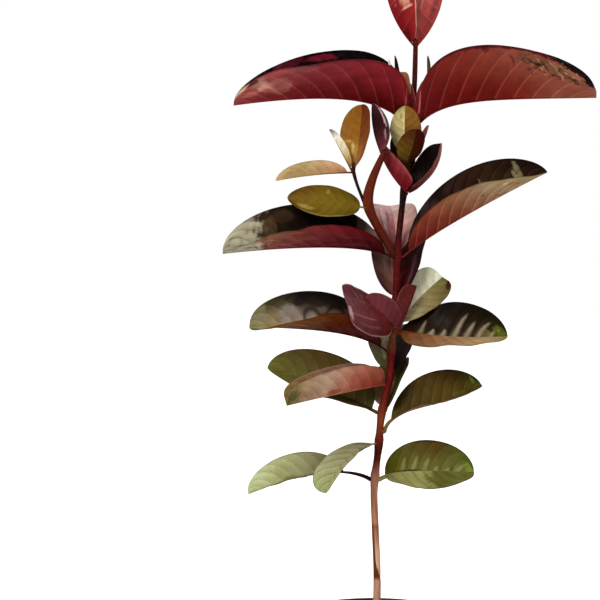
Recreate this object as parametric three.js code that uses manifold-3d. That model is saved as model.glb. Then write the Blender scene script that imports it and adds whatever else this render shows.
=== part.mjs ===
// A young red-leaved guava tree, grown as a single whip in a round nursery pot.
// Millimetres, +Z up, +X to the plant's right and +Y to its back.
// The origin is the centre of the pot's flat underside.

import * as THREE from 'three';
import { mergeVertices } from 'three/addons/utils/BufferGeometryUtils.js';
import Module from 'manifold-3d';

const wasm = await Module();
wasm.setup();

// ---------------------------------------------------------------- driving dimensions

const clearance = 0.3; // between any two pieces that touch

const pot = {
  height: 120,
  rimRadius: 65,
  bodyRadius: 61.5, // outside, just under the rim
  footRadius: 47,
  rimDepth: 11,
  wall: 1.6,
  floor: 2.4,
  segments: 48,
};

const drain = { count: 6, radius: 5, ringRadius: 34, segments: 16 };

const soil = {
  top: 108, // 12 mm under the rim
  segments: 48,
};

// Radius of the stem at the soil, above the root flare, at mid height and at the tip.
const stem = {
  flareRadius: 5,
  flareHeight: 14,
  footRadius: 2.9,
  middleRadius: 2.6,
  tipRadius: 1.9,
  nodeSwell: 0.8,
  nodeLength: 7,
  tip: 575,
  sides: 12,
  step: 12,
};

// The stem leans to the right and changes course a little at its leaf nodes: x at each height.
const stemCourse = [
  { z: 108, x: 0 },
  { z: 150, x: 0.8 },
  { z: 190, x: -0.6 },
  { z: 222, x: -1.5 },
  { z: 252, x: 2 },
  { z: 282, x: 4.6 },
  { z: 306, x: 10.4 },
  { z: 333, x: 12.4 },
  { z: 371, x: 15.8 },
  { z: 408, x: 17 },
  { z: 452, x: 21.6 },
  { z: 506, x: 28 },
  { z: 540, x: 30.6 },
  { z: 575, x: 31.6 },
];

// Heights where leaves leave the stem, numbered from the top.
const node = {
  first: 508,
  second: 459,
  third: 406,
  fourth: 369,
  fifth: 331,
  sixth: 311,
  seventh: 282,
  eighth: 257,
  ninth: 229,
};

// The side shoot: it leaves the third node, leans left and forks in two.
const shoot = {
  foot: { x: 11.8, y: -3, z: 411 },
  elbow: { x: -1.8, y: -8, z: 434 },
  fork: { x: -7, y: -10, z: 449 },
  armFoot: { x: -5, y: -10.4, z: 451 },
  armMiddle: { x: -3.6, y: -13, z: 466 },
  armTip: { x: 4.4, y: -16, z: 485 },
  twigFoot: { x: -9.9, y: -10.5, z: 448.4 },
  twigMiddle: { x: -15, y: -11, z: 461 },
  twigTip: { x: -18.6, y: -12, z: 473 },
  footRadius: 2.4,
  forkRadius: 4.2,
  armTipRadius: 2.3,
  twigRadius: 1.3,
  sides: 10,
  steps: 6,
};

const colors = { pot: 0x141414, soil: 0x2b1d14, stem: 0x7a2e22, shoot: 0x8a3a20, twig: 0x24100c };

const roughness = { pot: 0.55, soil: 0.95, bark: 0.6, leaf: 0.45 };

// ---------------------------------------------------------------- small helpers

const rad = THREE.MathUtils.degToRad;
const point = (p) => new THREE.Vector3(p.x, p.y, p.z);

// Value of a course that has a start, a middle and an end, carried smoothly over 0..1.
function threeStep([start, middle, end], u) {
  return start * (2 * u - 1) * (u - 1) + middle * 4 * u * (1 - u) + end * u * (2 * u - 1);
}

// Closed skin over a row of rings that all have the same number of points.
// Each ring runs clockwise as seen along the row, and a fan closes each end.
function skinRings(rings) {
  const count = rings[0].length;
  const positions = rings.flat().flatMap((p) => [p.x, p.y, p.z]);
  const index = [];
  for (let i = 0; i + 1 < rings.length; i += 1) {
    for (let k = 0; k < count; k += 1) {
      const next = (k + 1) % count;
      const a = i * count + k;
      const b = i * count + next;
      const c = (i + 1) * count + next;
      const d = (i + 1) * count + k;
      index.push(a, b, c, a, c, d);
    }
  }
  const half = count / 2;
  const ends = [0, rings.length - 1];
  for (const end of ends) {
    // The middle of the upper side and the middle of the lower side face each other.
    const upper = rings[end][Math.floor((half - 1) / 2)];
    const lower = rings[end][half + Math.floor((half - 1) / 2)];
    const centre = upper.clone().add(lower).multiplyScalar(0.5);
    const hub = positions.length / 3;
    positions.push(centre.x, centre.y, centre.z);
    for (let k = 0; k < count; k += 1) {
      const a = end * count + k;
      const b = end * count + ((k + 1) % count);
      index.push(hub, end === 0 ? b : a, end === 0 ? a : b);
    }
  }
  const geometry = new THREE.BufferGeometry();
  geometry.setAttribute('position', new THREE.Float32BufferAttribute(positions, 3));
  geometry.setIndex(index);
  return geometry;
}

// Round limb through the given points, its radius running evenly from the first to the last.
function limb(knots, startRadius, endRadius) {
  const { sides, steps } = shoot;
  const curve = new THREE.CatmullRomCurve3(knots.map(point));
  const rings = [];
  for (let i = 0; i <= steps; i += 1) {
    const u = i / steps;
    const radius = startRadius + (endRadius - startRadius) * u;
    const centre = curve.getPointAt(u);
    const ahead = curve.getTangentAt(u);
    const across = new THREE.Vector3(0, -1, 0);
    across.addScaledVector(ahead, -across.dot(ahead)).normalize();
    const up = across.clone().cross(ahead);
    const ring = [];
    for (let k = 0; k < sides; k += 1) {
      const angle = (2 * Math.PI * k) / sides;
      const spoke = across.clone().multiplyScalar(-Math.cos(angle)).addScaledVector(up, Math.sin(angle));
      ring.push(centre.clone().addScaledVector(spoke, radius));
    }
    rings.push(ring);
  }
  return skinRings(rings);
}

function solidOf(geometry) {
  const bare = geometry.clone();
  bare.deleteAttribute('normal');
  bare.deleteAttribute('uv');
  const merged = mergeVertices(bare, 1e-4);
  return new wasm.Manifold(
    new wasm.Mesh({
      numProp: 3,
      vertProperties: new Float32Array(merged.attributes.position.array),
      triVerts: new Uint32Array(merged.index.array),
    }),
  );
}

function geometryOf(solid) {
  const mesh = solid.getMesh();
  const geometry = new THREE.BufferGeometry();
  geometry.setAttribute('position', new THREE.BufferAttribute(mesh.vertProperties, 3));
  geometry.setIndex(new THREE.BufferAttribute(mesh.triVerts, 1));
  return geometry;
}

function mesh(name, geometry, color, rough) {
  const material = new THREE.MeshStandardMaterial({ color, roughness: rough, metalness: 0 });
  const piece = new THREE.Mesh(geometry, material);
  piece.name = name;
  return piece;
}

// A lathe turns about +Y, so its result is stood up along +Z.
function turned(profile, segments) {
  const outline = profile.map(([r, z]) => new THREE.Vector2(r, z));
  return new THREE.LatheGeometry(outline, segments).rotateX(Math.PI / 2);
}

// ---------------------------------------------------------------- pot and soil

// Inside radius of the pot's wall at a height.
function potInside(z) {
  const share = z / (pot.height - pot.rimDepth);
  const outside = pot.footRadius + (pot.bodyRadius - pot.footRadius) * Math.min(share, 1);
  return outside - pot.wall;
}

function makePot() {
  const rimFoot = pot.height - pot.rimDepth;
  const chamfer = 2;
  const lip = 1.2;
  const shell = turned(
    [
      [0, 0],
      [pot.footRadius - chamfer, 0],
      [pot.footRadius, chamfer],
      [pot.bodyRadius, rimFoot],
      [pot.rimRadius - lip, rimFoot],
      [pot.rimRadius - lip, pot.height - 2.5 * lip],
      [pot.rimRadius, pot.height - 2 * lip],
      [pot.rimRadius, pot.height - lip],
      [pot.rimRadius - lip, pot.height],
      [pot.rimRadius - 2.4 * lip, pot.height],
      [potInside(rimFoot), rimFoot],
      [potInside(pot.floor), pot.floor],
      [0, pot.floor],
    ],
    pot.segments,
  );
  let solid = solidOf(shell);
  for (let i = 0; i < drain.count; i += 1) {
    const angle = (2 * Math.PI * (i + 0.5)) / drain.count;
    const bore = new THREE.CylinderGeometry(drain.radius, drain.radius, 4 * pot.floor, drain.segments);
    bore.rotateX(Math.PI / 2);
    bore.translate(drain.ringRadius * Math.cos(angle), drain.ringRadius * Math.sin(angle), 0);
    solid = solid.subtract(solidOf(bore));
  }
  return mesh('pot', geometryOf(solid), colors.pot, roughness.pot);
}

function makeSoil() {
  const foot = pot.floor + clearance;
  const chamfer = 1.5;
  const profile = [
    [0, foot],
    [potInside(foot) - clearance - chamfer, foot],
    [potInside(foot + chamfer) - clearance, foot + chamfer],
    [potInside(soil.top - chamfer) - clearance, soil.top - chamfer],
    [potInside(soil.top) - clearance - 2 * chamfer, soil.top],
    [0, soil.top],
  ];
  return mesh('soil', turned(profile, soil.segments), colors.soil, roughness.soil);
}

// ---------------------------------------------------------------- stem and side shoot

const stemLine = new THREE.CatmullRomCurve3(
  stemCourse.map((knot) => new THREE.Vector3(knot.x, 0, knot.z)),
  false,
  'centripetal',
);

// Centre of the stem at a height, found by halving, because the line always climbs.
function stemPoint(z) {
  let low = 0;
  let high = 1;
  for (let i = 0; i < 30; i += 1) {
    const middle = (low + high) / 2;
    if (stemLine.getPoint(middle).z < z) low = middle;
    else high = middle;
  }
  return stemLine.getPoint(low);
}

// Taper from the foot to the tip, with a root flare and a swelling at each leaf node.
function stemRadius(z) {
  const share = (z - soil.top) / (stem.tip - soil.top);
  const taper = threeStep([stem.footRadius, stem.middleRadius, stem.tipRadius], share);
  const flare = (stem.flareRadius - stem.footRadius) * Math.exp(-(z - soil.top) / (stem.flareHeight / 2));
  const swell = Object.values(node).reduce(
    (sum, height) => sum + stem.nodeSwell * Math.exp(-(((z - height) / stem.nodeLength) ** 2)),
    0,
  );
  return taper + flare + swell;
}

function makeStem() {
  const steps = Math.round((stem.tip - soil.top) / stem.step);
  const foot = soil.top + clearance;
  const rings = [];
  for (let i = 0; i <= steps; i += 1) {
    const z = foot + ((stem.tip - foot) * i) / steps;
    const centre = stemPoint(z);
    const ring = [];
    for (let k = 0; k < stem.sides; k += 1) {
      const angle = (2 * Math.PI * k) / stem.sides;
      ring.push(
        new THREE.Vector3(
          centre.x + stemRadius(z) * Math.cos(angle),
          centre.y + stemRadius(z) * Math.sin(angle),
          z,
        ),
      );
    }
    rings.push(ring);
  }
  return mesh('stem', skinRings(rings), colors.stem, roughness.bark);
}

function makeShoot() {
  const { footRadius, forkRadius, armTipRadius, twigRadius } = shoot;
  const lower = limb([shoot.foot, shoot.elbow, shoot.fork], footRadius, forkRadius);
  const arm = limb([shoot.armFoot, shoot.armMiddle, shoot.armTip], forkRadius, armTipRadius);
  const twig = limb([shoot.twigFoot, shoot.twigMiddle, shoot.twigTip], twigRadius, twigRadius);
  return [
    mesh('shoot_lower', lower, colors.shoot, roughness.bark),
    mesh('shoot_arm', arm, colors.shoot, roughness.bark),
    mesh('shoot_twig', twig, colors.twig, roughness.bark),
  ];
}

// ---------------------------------------------------------------- leaves

// A leaf is two half blades hinged on an arching midrib and folded up like a gutter.
//   from        height on the stem where it leaves, or the point it starts at
//   heading     compass angle from +X towards +Y
//   length, width
//   pitch       climb of the midrib at its foot and at its tip
//   rise        extra climb at the foot, which dies out over a share of the length
//   left, right fold of each half blade above flat, at its foot, middle and tip
//   curl        how far each half blade bends between midrib and margin
//   foot, point exponents of the outline: a small one is blunt, a large one is drawn out
//   stalk       share of the length that is bare stalk
const leafDefaults = { rise: 0, riseShare: 0.14, curl: 12, foot: 0.5, point: 0.5, stalk: 0.05 };

// Cross sections of a leaf: a fewest number of them and one more per stretch of length.
const leafSection = {
  fewest: 7,
  stretch: 22,
  strips: 2, // in each half blade
  thickness: 1 / 88, // share of the length, at the midrib
  thinnest: 0.9,
  marginShare: 0.6, // thickness at the margin as a share of that at the midrib
  stalkRadius: 1.1,
  stalkTaper: 0.5, // share of the stalk's radius lost on the way to the tip
  innerRoom: 0.45, // how far out a folded half blade keeps clear of the other one
};

const leaves = [
  // the closed pair at the tip
  { name: 'leaf_tip_left', from: { x: 29.8, y: 0, z: 575.9 }, heading: 184, length: 80, width: 50,
    pitch: [46, 102], left: [30, 52, 46], right: [50, 62, 56], foot: 0.52, stalk: 0.02, color: 0x7d2326 },
  { name: 'leaf_tip_right', from: { x: 33.4, y: 0, z: 575.9 }, heading: -16, length: 82, width: 53,
    pitch: [44, 112], left: [50, 60, 58], right: [60, 72, 70], foot: 0.42, stalk: 0.02, color: 0x873237 },
  // first node: the two largest leaves
  { name: 'leaf_first_left', from: node.first, heading: 184, length: 147, width: 82, pitch: [2, -9],
    rise: 66, riseShare: 0.17, left: [64, 40, 66], right: [80, 84, 84], foot: 0.2, point: 0.55,
    stalk: 0.01, color: 0x7d282d },
  { name: 'leaf_first_right', from: node.first, heading: -4, length: 150, width: 88, pitch: [-3, 0],
    rise: 66, riseShare: 0.17, left: [80, 84, 84], right: [76, 70, 34], foot: 0.23, point: 0.42,
    stalk: 0.01, color: 0x82322a },
  { name: 'bud_first_left', from: node.first, heading: 130, length: 63, width: 7, pitch: [68, 84],
    left: [16, 30, 30], right: [16, 30, 30], color: 0x2a1010 },
  { name: 'bud_first_right', from: node.first, heading: 37, length: 65, width: 7, pitch: [46, 108],
    left: [30, 30, 30], right: [30, 30, 30], color: 0x7a6a2c },
  // second node
  { name: 'leaf_second_left', from: { x: 25.4, y: -5, z: 456.2 }, heading: 184, length: 51, width: 26.5,
    pitch: [42, 76], left: [40, 66, 60], right: [84, 84, 70], foot: 0.16, point: 0.6, color: 0x78282d },
  { name: 'leaf_second_right', from: node.second, heading: -2, length: 49, width: 33, pitch: [18, 92],
    left: [60, 84, 80], right: [10, 10, 10], foot: 0.3, point: 0.3, stalk: 0.02, color: 0x160808 },
  { name: 'leaf_second_pale', from: 485, heading: -104, length: 43, width: 26, pitch: [46, 108],
    left: [16, 16, 16], right: [16, 16, 16], color: 0xb8a468 },
  { name: 'leaf_second_olive', from: { x: 23.6, y: -4.7, z: 478.4 }, heading: -72, length: 35, width: 24,
    pitch: [34, 66], left: [20, 20, 20], right: [20, 20, 20], color: 0x5a371e },
  { name: 'leaf_second_point', from: 484, heading: -20, length: 30, width: 10, pitch: [48, 76],
    left: [40, 40, 40], right: [40, 40, 40], color: 0x9a5f48 },
  { name: 'leaf_second_back', from: { x: 23.1, y: 3.6, z: 468 }, heading: 98, length: 46, width: 23,
    pitch: [56, 84], left: [24, 24, 24], right: [24, 24, 24], color: 0x4a1c1c },
  // third node
  { name: 'leaf_third_left', from: node.third, heading: 183, length: 137, width: 70, pitch: [2, -7],
    rise: 24, left: [34, 23, 8], right: [60, 84, 84], foot: 0.5, point: 0.54, color: 0x6e1e23 },
  { name: 'leaf_third_right', from: node.third, heading: -4, length: 133, width: 64, pitch: [31, 26],
    rise: 12, left: [70, 84, 84], right: [50, 32, 0], foot: 0.65, point: 0.6, color: 0x7d372d },
  { name: 'leaf_third_back', from: node.third, heading: 94, length: 68, width: 40, pitch: [80, 6],
    left: [20, 14, 10], right: [20, 14, 10], foot: 0.6, point: 0.35, color: 0x967878 },
  // fourth node
  { name: 'leaf_fourth_back', from: node.fourth, heading: 82, length: 96, width: 54, pitch: [66, 20],
    left: [40, 36, 30], right: [40, 36, 30], foot: 0.42, color: 0x4a2c2e },
  { name: 'leaf_fourth_front', from: 357, heading: 224, length: 52, width: 46, pitch: [8, 16],
    left: [-70, -60, -58], right: [50, 55, 55], foot: 0.26, point: 0.12, stalk: 0.02, color: 0x5f2d32 },
  { name: 'leaf_fourth_pale', from: 352, heading: 22, length: 55, width: 35, pitch: [51, 36],
    left: [40, 65, 60], right: [-30, -42, -30], foot: 0.8, point: 0.24, color: 0xb0aa8c },
  // fifth node
  { name: 'leaf_fifth_left', from: node.fifth, heading: 183, length: 113, width: 62, pitch: [1, 0],
    rise: 36, riseShare: 0.26, left: [30, 24, -16], right: [60, 84, 84], foot: 0.4, point: 0.46,
    color: 0x5a2d19 },
  { name: 'leaf_fifth_right', from: 347, heading: -11, length: 88, width: 56, pitch: [-10, 4],
    left: [36, 80, 82], right: [-44, -15, -14], foot: 0.52, point: 0.52, stalk: 0.04, color: 0x3a2614 },
  // sixth node
  { name: 'leaf_sixth_left', from: 304, heading: 207, length: 88, width: 44, pitch: [-8, -11],
    left: [56, 66, 60], right: [60, 78, 70], foot: 0.18, point: 0.24, stalk: 0.02, color: 0x916955 },
  { name: 'leaf_sixth_back', from: node.sixth, heading: 84, length: 58, width: 46, pitch: [58, 20],
    left: [34, 34, 30], right: [34, 34, 30], color: 0x3c2828 },
  // seventh node
  { name: 'leaf_seventh_left', from: { x: 1, y: 0.3, z: 282 }, heading: 176, length: 95, width: 56,
    pitch: [26, 18], left: [0, -12, -12], right: [70, 84, 84], foot: 0.42, point: 0.52, color: 0x55552b },
  { name: 'leaf_seventh_right', from: 267, heading: 4, length: 89, width: 50, pitch: [0, 25],
    rise: 84, riseShare: 0.14, left: [50, 78, 78], right: [10, 6, 4], foot: 0.55, point: 0.5,
    stalk: 0.12, color: 0x46371a },
  { name: 'leaf_seventh_back', from: node.seventh, heading: 46, length: 49, width: 38, pitch: [64, 54],
    left: [36, 36, 30], right: [36, 36, 30], foot: 0.45, color: 0x504620 },
  // eighth node
  { name: 'leaf_eighth_front', from: node.eighth, heading: 222, length: 68, width: 42, pitch: [-6, -60],
    left: [10, 25, 30], right: [10, 10, 10], foot: 0.7, point: 0.42, color: 0x96966a },
  // ninth node
  { name: 'leaf_ninth_left', from: node.ninth, heading: 178, length: 101, width: 40, pitch: [0, -24],
    rise: 30, left: [5, 5, 5], right: [40, 72, 72], foot: 0.5, point: 0.55, stalk: 0.22,
    color: 0x96965f },
  { name: 'leaf_ninth_right', from: node.ninth, heading: 4, length: 77, width: 50, pitch: [2, -4], rise: 26,
    left: [50, 76, 76], right: [-20, -26, -20], foot: 0.42, point: 0.5, stalk: 0.06, color: 0x565a24 },
  // the side shoot
  { name: 'leaf_side_olive', from: { x: -10.3, y: -11.9, z: 444.6 }, heading: 182, length: 61, width: 30,
    pitch: [10, 4], left: [-40, -58, -58], right: [40, 62, 62], foot: 0.4, point: 0.58, color: 0x6b5a12 },
  { name: 'leaf_side_tan', from: { x: -20.6, y: -12, z: 472.4 }, heading: 184, length: 60, width: 28,
    pitch: [-2, -12], left: [40, 50, 50], right: [40, 50, 50], foot: 0.6, point: 0.62, color: 0xb09068 },
  { name: 'leaf_side_gold', from: { x: -17.9, y: -12.4, z: 474.0 }, heading: 50, length: 54, width: 35,
    pitch: [72, 86], left: [12, 12, 12], right: [26, 26, 26], foot: 0.6, point: 0.48, color: 0x8e6a20 },
  { name: 'leaf_side_small', from: { x: -20.2, y: -13.4, z: 474.4 }, heading: 178, length: 36, width: 13,
    pitch: [62, 60], left: [50, 60, 50], right: [50, 60, 50], color: 0xd8c8a0 },
  { name: 'leaf_side_dark', from: { x: 3.8, y: -16.2, z: 486.6 }, heading: 178, length: 41, width: 26,
    pitch: [64, 94], left: [60, 74, 70], right: [60, 74, 70], foot: 0.45, point: 0.55, color: 0x2a1015 },
];

// Midrib of a leaf: points and frames at the given shares of its length.
function midrib(leaf, start, shares) {
  const fine = 96;
  const heading = rad(leaf.heading);
  const arch = (u) => leaf.pitch[0] + (leaf.pitch[1] - leaf.pitch[0]) * u;
  const ahead = (pitch) =>
    new THREE.Vector3(
      Math.cos(pitch) * Math.cos(heading),
      Math.cos(pitch) * Math.sin(heading),
      Math.sin(pitch),
    );
  const across = new THREE.Vector3(Math.sin(heading), -Math.cos(heading), 0);
  const line = [start.clone()];
  for (let i = 0; i < fine; i += 1) {
    const u = (i + 0.5) / fine;
    const climb = rad(arch(u) + leaf.rise * Math.exp(-u / leaf.riseShare));
    line.push(line[i].clone().addScaledVector(ahead(climb), leaf.length / fine));
  }
  return shares.map((u) => {
    const i = Math.min(Math.floor(u * fine), fine - 1);
    const centre = line[i].clone().lerp(line[i + 1], u * fine - i);
    // The blade stands square to the arch, and only its midrib follows the extra rise at the foot.
    const up = across.clone().cross(ahead(rad(arch(u))));
    return { centre, across, up };
  });
}

// Half width of the blade at a share of the length: a power curve on each side of its widest place.
function halfWidth(leaf, u) {
  const blade = Math.max((u - leaf.stalk) / (1 - leaf.stalk), 0);
  const { foot, point: tip } = leaf;
  const peak = (foot / (foot + tip)) ** foot * (tip / (foot + tip)) ** tip;
  const outline = ((leaf.width / 2) * blade ** foot * (1 - blade) ** tip) / peak;
  return Math.max(outline, leafSection.stalkRadius * (1 - leafSection.stalkTaper * u));
}

function leafThickness(leaf) {
  return Math.max(leaf.length * leafSection.thickness, leafSection.thinnest);
}

function leafSolid(leaf, start) {
  const { fewest, stretch, strips, marginShare, innerRoom } = leafSection;
  const stations = Math.round(fewest + leaf.length / stretch);
  const thick = leafThickness(leaf);
  const shares = [];
  for (let i = 0; i <= stations; i += 1) shares.push((1 - Math.cos((Math.PI * i) / stations)) / 2);
  const frames = midrib(leaf, start, shares);
  const rings = frames.map(({ centre, across, up }, i) => {
    const u = shares[i];
    const wide = halfWidth(leaf, u);
    // A narrow stretch opens up, so that its two half blades don't run into each other.
    const openest = 180 - 2 * THREE.MathUtils.radToDeg(Math.atan(thick / 2 / (innerRoom * wide)));
    const leftFold = threeStep(leaf.left, u);
    const rightFold = threeStep(leaf.right, u);
    const ease = Math.min(1, openest / Math.max(leftFold + rightFold, 1));
    const folds = [rad(leftFold * ease), rad(rightFold * ease)];
    const curl = rad(leaf.curl);
    const place = (side, along, lift) => {
      const hinge = folds[side < 0 ? 0 : 1] - curl / 2;
      const lean = hinge + curl * along;
      const out = (wide * (Math.sin(lean) - Math.sin(hinge))) / curl;
      const rise = (wide * (Math.cos(hinge) - Math.cos(lean))) / curl;
      return centre
        .clone()
        .addScaledVector(across, side * (out - lift * Math.sin(lean)))
        .addScaledVector(up, rise + lift * Math.cos(lean));
    };
    const upper = [];
    const lower = [];
    const pushPair = (side, along) => {
      const lift = (thick / 2) * (1 - (1 - marginShare) * along);
      upper.push(place(side, along, lift));
      lower.push(place(side, along, -lift));
    };
    for (let k = strips; k > 0; k -= 1) pushPair(-1, k / strips);
    const bend = (folds[0] + folds[1]) / 2;
    const tilt = (folds[0] - folds[1]) / 2;
    const bisector = across.clone().multiplyScalar(Math.sin(tilt)).addScaledVector(up, Math.cos(tilt));
    const sharpest = 0.2;
    upper.push(centre.clone().addScaledVector(bisector, thick / 2 / Math.max(Math.cos(bend), sharpest)));
    lower.push(centre.clone().addScaledVector(bisector, -thick / 2));
    for (let k = 1; k <= strips; k += 1) pushPair(1, k / strips);
    return [...upper, ...lower.reverse()];
  });
  return skinRings(rings);
}

// How far from the stem's axis a leaf starts, so that its folded foot is a clearance off the bark.
function footReach(leaf) {
  const climb = Math.abs(Math.sin(rad(leaf.pitch[0])));
  const half = leafThickness(leaf) / 2;
  const fold = rad(Math.max(leaf.left[0], leaf.right[0], 0));
  const girth = Math.max(...[-1, 0, 1].map((step) => stemRadius(leaf.from + step * stem.nodeLength)));
  return girth + clearance + climb * (half + leafSection.stalkRadius * Math.sin(fold));
}

function makeLeaf(spec) {
  const leaf = { ...leafDefaults, ...spec };
  let start;
  if (typeof leaf.from === 'number') {
    const heading = rad(leaf.heading);
    const reach = footReach(leaf);
    start = stemPoint(leaf.from);
    start.x += reach * Math.cos(heading);
    start.y += reach * Math.sin(heading);
  } else {
    start = point(leaf.from);
  }
  return mesh(leaf.name, leafSolid(leaf, start), leaf.color, roughness.leaf);
}

// ---------------------------------------------------------------- the whole plant

const group = new THREE.Group();
group.add(makePot());
group.add(makeSoil());
group.add(makeStem());
for (const piece of makeShoot()) group.add(piece);
for (const leaf of leaves) group.add(makeLeaf(leaf));

export default group;
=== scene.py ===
import bpy
import numpy as np
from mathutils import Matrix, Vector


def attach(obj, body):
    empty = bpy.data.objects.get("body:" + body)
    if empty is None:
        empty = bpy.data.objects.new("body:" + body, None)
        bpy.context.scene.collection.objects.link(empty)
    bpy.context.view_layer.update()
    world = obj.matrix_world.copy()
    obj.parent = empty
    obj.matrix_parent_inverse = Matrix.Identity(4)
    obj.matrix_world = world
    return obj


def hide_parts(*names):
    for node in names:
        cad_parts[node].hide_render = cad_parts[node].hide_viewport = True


# A young red-leaved guava tree in its nursery pot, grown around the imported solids.
# Lengths are in millimetres, angles in degrees, and colours are written as the screen shows them.

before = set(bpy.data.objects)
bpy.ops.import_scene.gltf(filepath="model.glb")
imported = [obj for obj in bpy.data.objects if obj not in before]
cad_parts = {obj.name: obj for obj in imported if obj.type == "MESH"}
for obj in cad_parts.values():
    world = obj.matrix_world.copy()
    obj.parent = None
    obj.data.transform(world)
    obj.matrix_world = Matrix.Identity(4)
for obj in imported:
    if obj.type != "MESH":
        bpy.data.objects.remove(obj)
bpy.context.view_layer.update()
print("frame loaded:", len(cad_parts), "solids")

mm = 0.001


def tone(text):  # screen colours, written as hex words, to linear ones, one row each
    raw = np.array([[int(word[k:k + 2], 16) for k in (0, 2, 4)] for word in text.split()]) / 255
    return np.where(raw <= 0.04045, raw / 12.92, ((raw + 0.055) / 1.055) ** 2.4)


def blend(first, second, share):  # the first plus a share of the way to the second
    return first + (second - first) * share


def smooth(low, high, x):  # 0 below low, 1 above high, an S curve between
    t = np.clip((x - low) / (high - low), 0, 1)
    return t * t * (3 - 2 * t)


def threeStep(values, x):  # parabola through a start, a middle and an end
    start, middle, end = values
    return start * (2 * x - 1) * (x - 1) + middle * 4 * x * (1 - x) + end * x * (2 * x - 1)


def between(places, rows, x):  # rows of three numbers at given places, blended along x
    return np.stack([np.interp(x, places, rows[:, k]) for k in range(3)], -1)


def shades(text, x):  # colours at even stops, blended along x
    stops = tone(text)
    return between(np.linspace(0, 1, len(stops)), stops, x)


def turns(count):  # angles of evenly spaced points round a ring
    return 2 * np.pi * np.arange(count) / count


def unit(rows):  # each row divided by its length
    return rows / np.linalg.norm(rows, axis=1, keepdims=True)


def uneven(seed, a, b, waves=7):  # sum of sine waves in seeded directions, about -1 to 1
    rng = np.random.default_rng(seed)
    total, weight = 0, 0
    for n in range(waves):
        turn = rng.uniform(0, 2 * np.pi)
        pace, share = 1 + 0.7 * n, 1 / (1 + 0.45 * n)
        total = total + share * np.sin(pace * (np.cos(turn) * a + np.sin(turn) * b) + rng.uniform(0, 6.28))
        weight += share
    return total / weight * 1.6


# Rows of closed rings, skinned with quads, and a fan on each end. The faces are turned round
# where the volume they enclose comes out negative. Extra values are carried at every point.
def ringShell(rings, **carried):
    rows, around = rings.shape[:2]

    def capped(grid):  # every point of the rings, then the middle of each end
        return np.concatenate([grid.reshape(-1, 3), grid[[0, -1]].mean(axis=1)])

    points = capped(rings)
    index = np.arange(rows * around).reshape(rows, around)
    after = np.roll(index, -1, axis=1)
    hubs = np.full((2, around), rows * around) + [[0], [1]]
    quads = np.stack([index[:-1], after[:-1], after[1:], index[1:]], -1).reshape(-1, 4)
    tris = np.concatenate([np.stack([hubs[0], after[0], index[0]], -1),
                           np.stack([hubs[1], index[-1], after[-1]], -1)])
    halves = np.concatenate([quads[:, [0, 1, 2]], quads[:, [0, 2, 3]], tris])
    a, b, c = (points[halves[:, k]] - points[0] for k in range(3))
    if np.sum(a * np.cross(b, c)) < 0:
        quads, tris = quads[:, ::-1], tris[:, ::-1]
    values = {key: capped(np.broadcast_to(grid, (rows, around, 3))) for key, grid in carried.items()}
    return dict(points=points, quads=quads, tris=tris, values=values)


# A tube is a ring at each point of a path, square to it, with a radius for each row or each point.
def tubeRings(path, radius, sides, towards=(1, 0, 0)):
    ahead = unit(np.gradient(path, axis=0))
    towards = np.asarray(towards, float)
    across = unit(towards - (ahead @ towards)[:, None] * ahead)
    over = np.cross(ahead, across)
    angle = turns(sides)[None, :, None]
    radius = np.broadcast_to(np.reshape(radius, (len(path), -1)), (len(path), sides))[..., None]
    return path[:, None] + radius * (np.cos(angle) * across[:, None] + np.sin(angle) * over[:, None])


# A turned shape: each point of the profile (radius, height) becomes a ring round the upright axis.
def turnedRings(profile, segments):
    profile = np.asarray(profile, float)[:, None]
    angle = turns(segments)
    ring = np.stack([np.cos(angle), np.sin(angle), np.zeros(segments)], -1)
    return profile[..., :1] * ring + profile[..., 1:] * [0, 0, 1]


# A smooth path through knots: each stretch is a cubic that leaves along its neighbours' chord.
def smoothPath(knots, count):
    knots = np.asarray(knots, float)
    padded = np.concatenate([2 * knots[:1] - knots[1:2], knots, 2 * knots[-1:] - knots[-2:-1]])
    place = np.linspace(0, len(knots) - 1 - 1e-9, count)
    cell = place.astype(int)
    t = (place - cell)[:, None]
    p0, p1, p2, p3 = (padded[cell + k] for k in range(4))
    return 0.5 * (2 * p1 + (p2 - p0) * t + (2 * p0 - 5 * p1 + 4 * p2 - p3) * t ** 2
                  + (3 * p1 - p0 - 3 * p2 + p3) * t ** 3)


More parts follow.
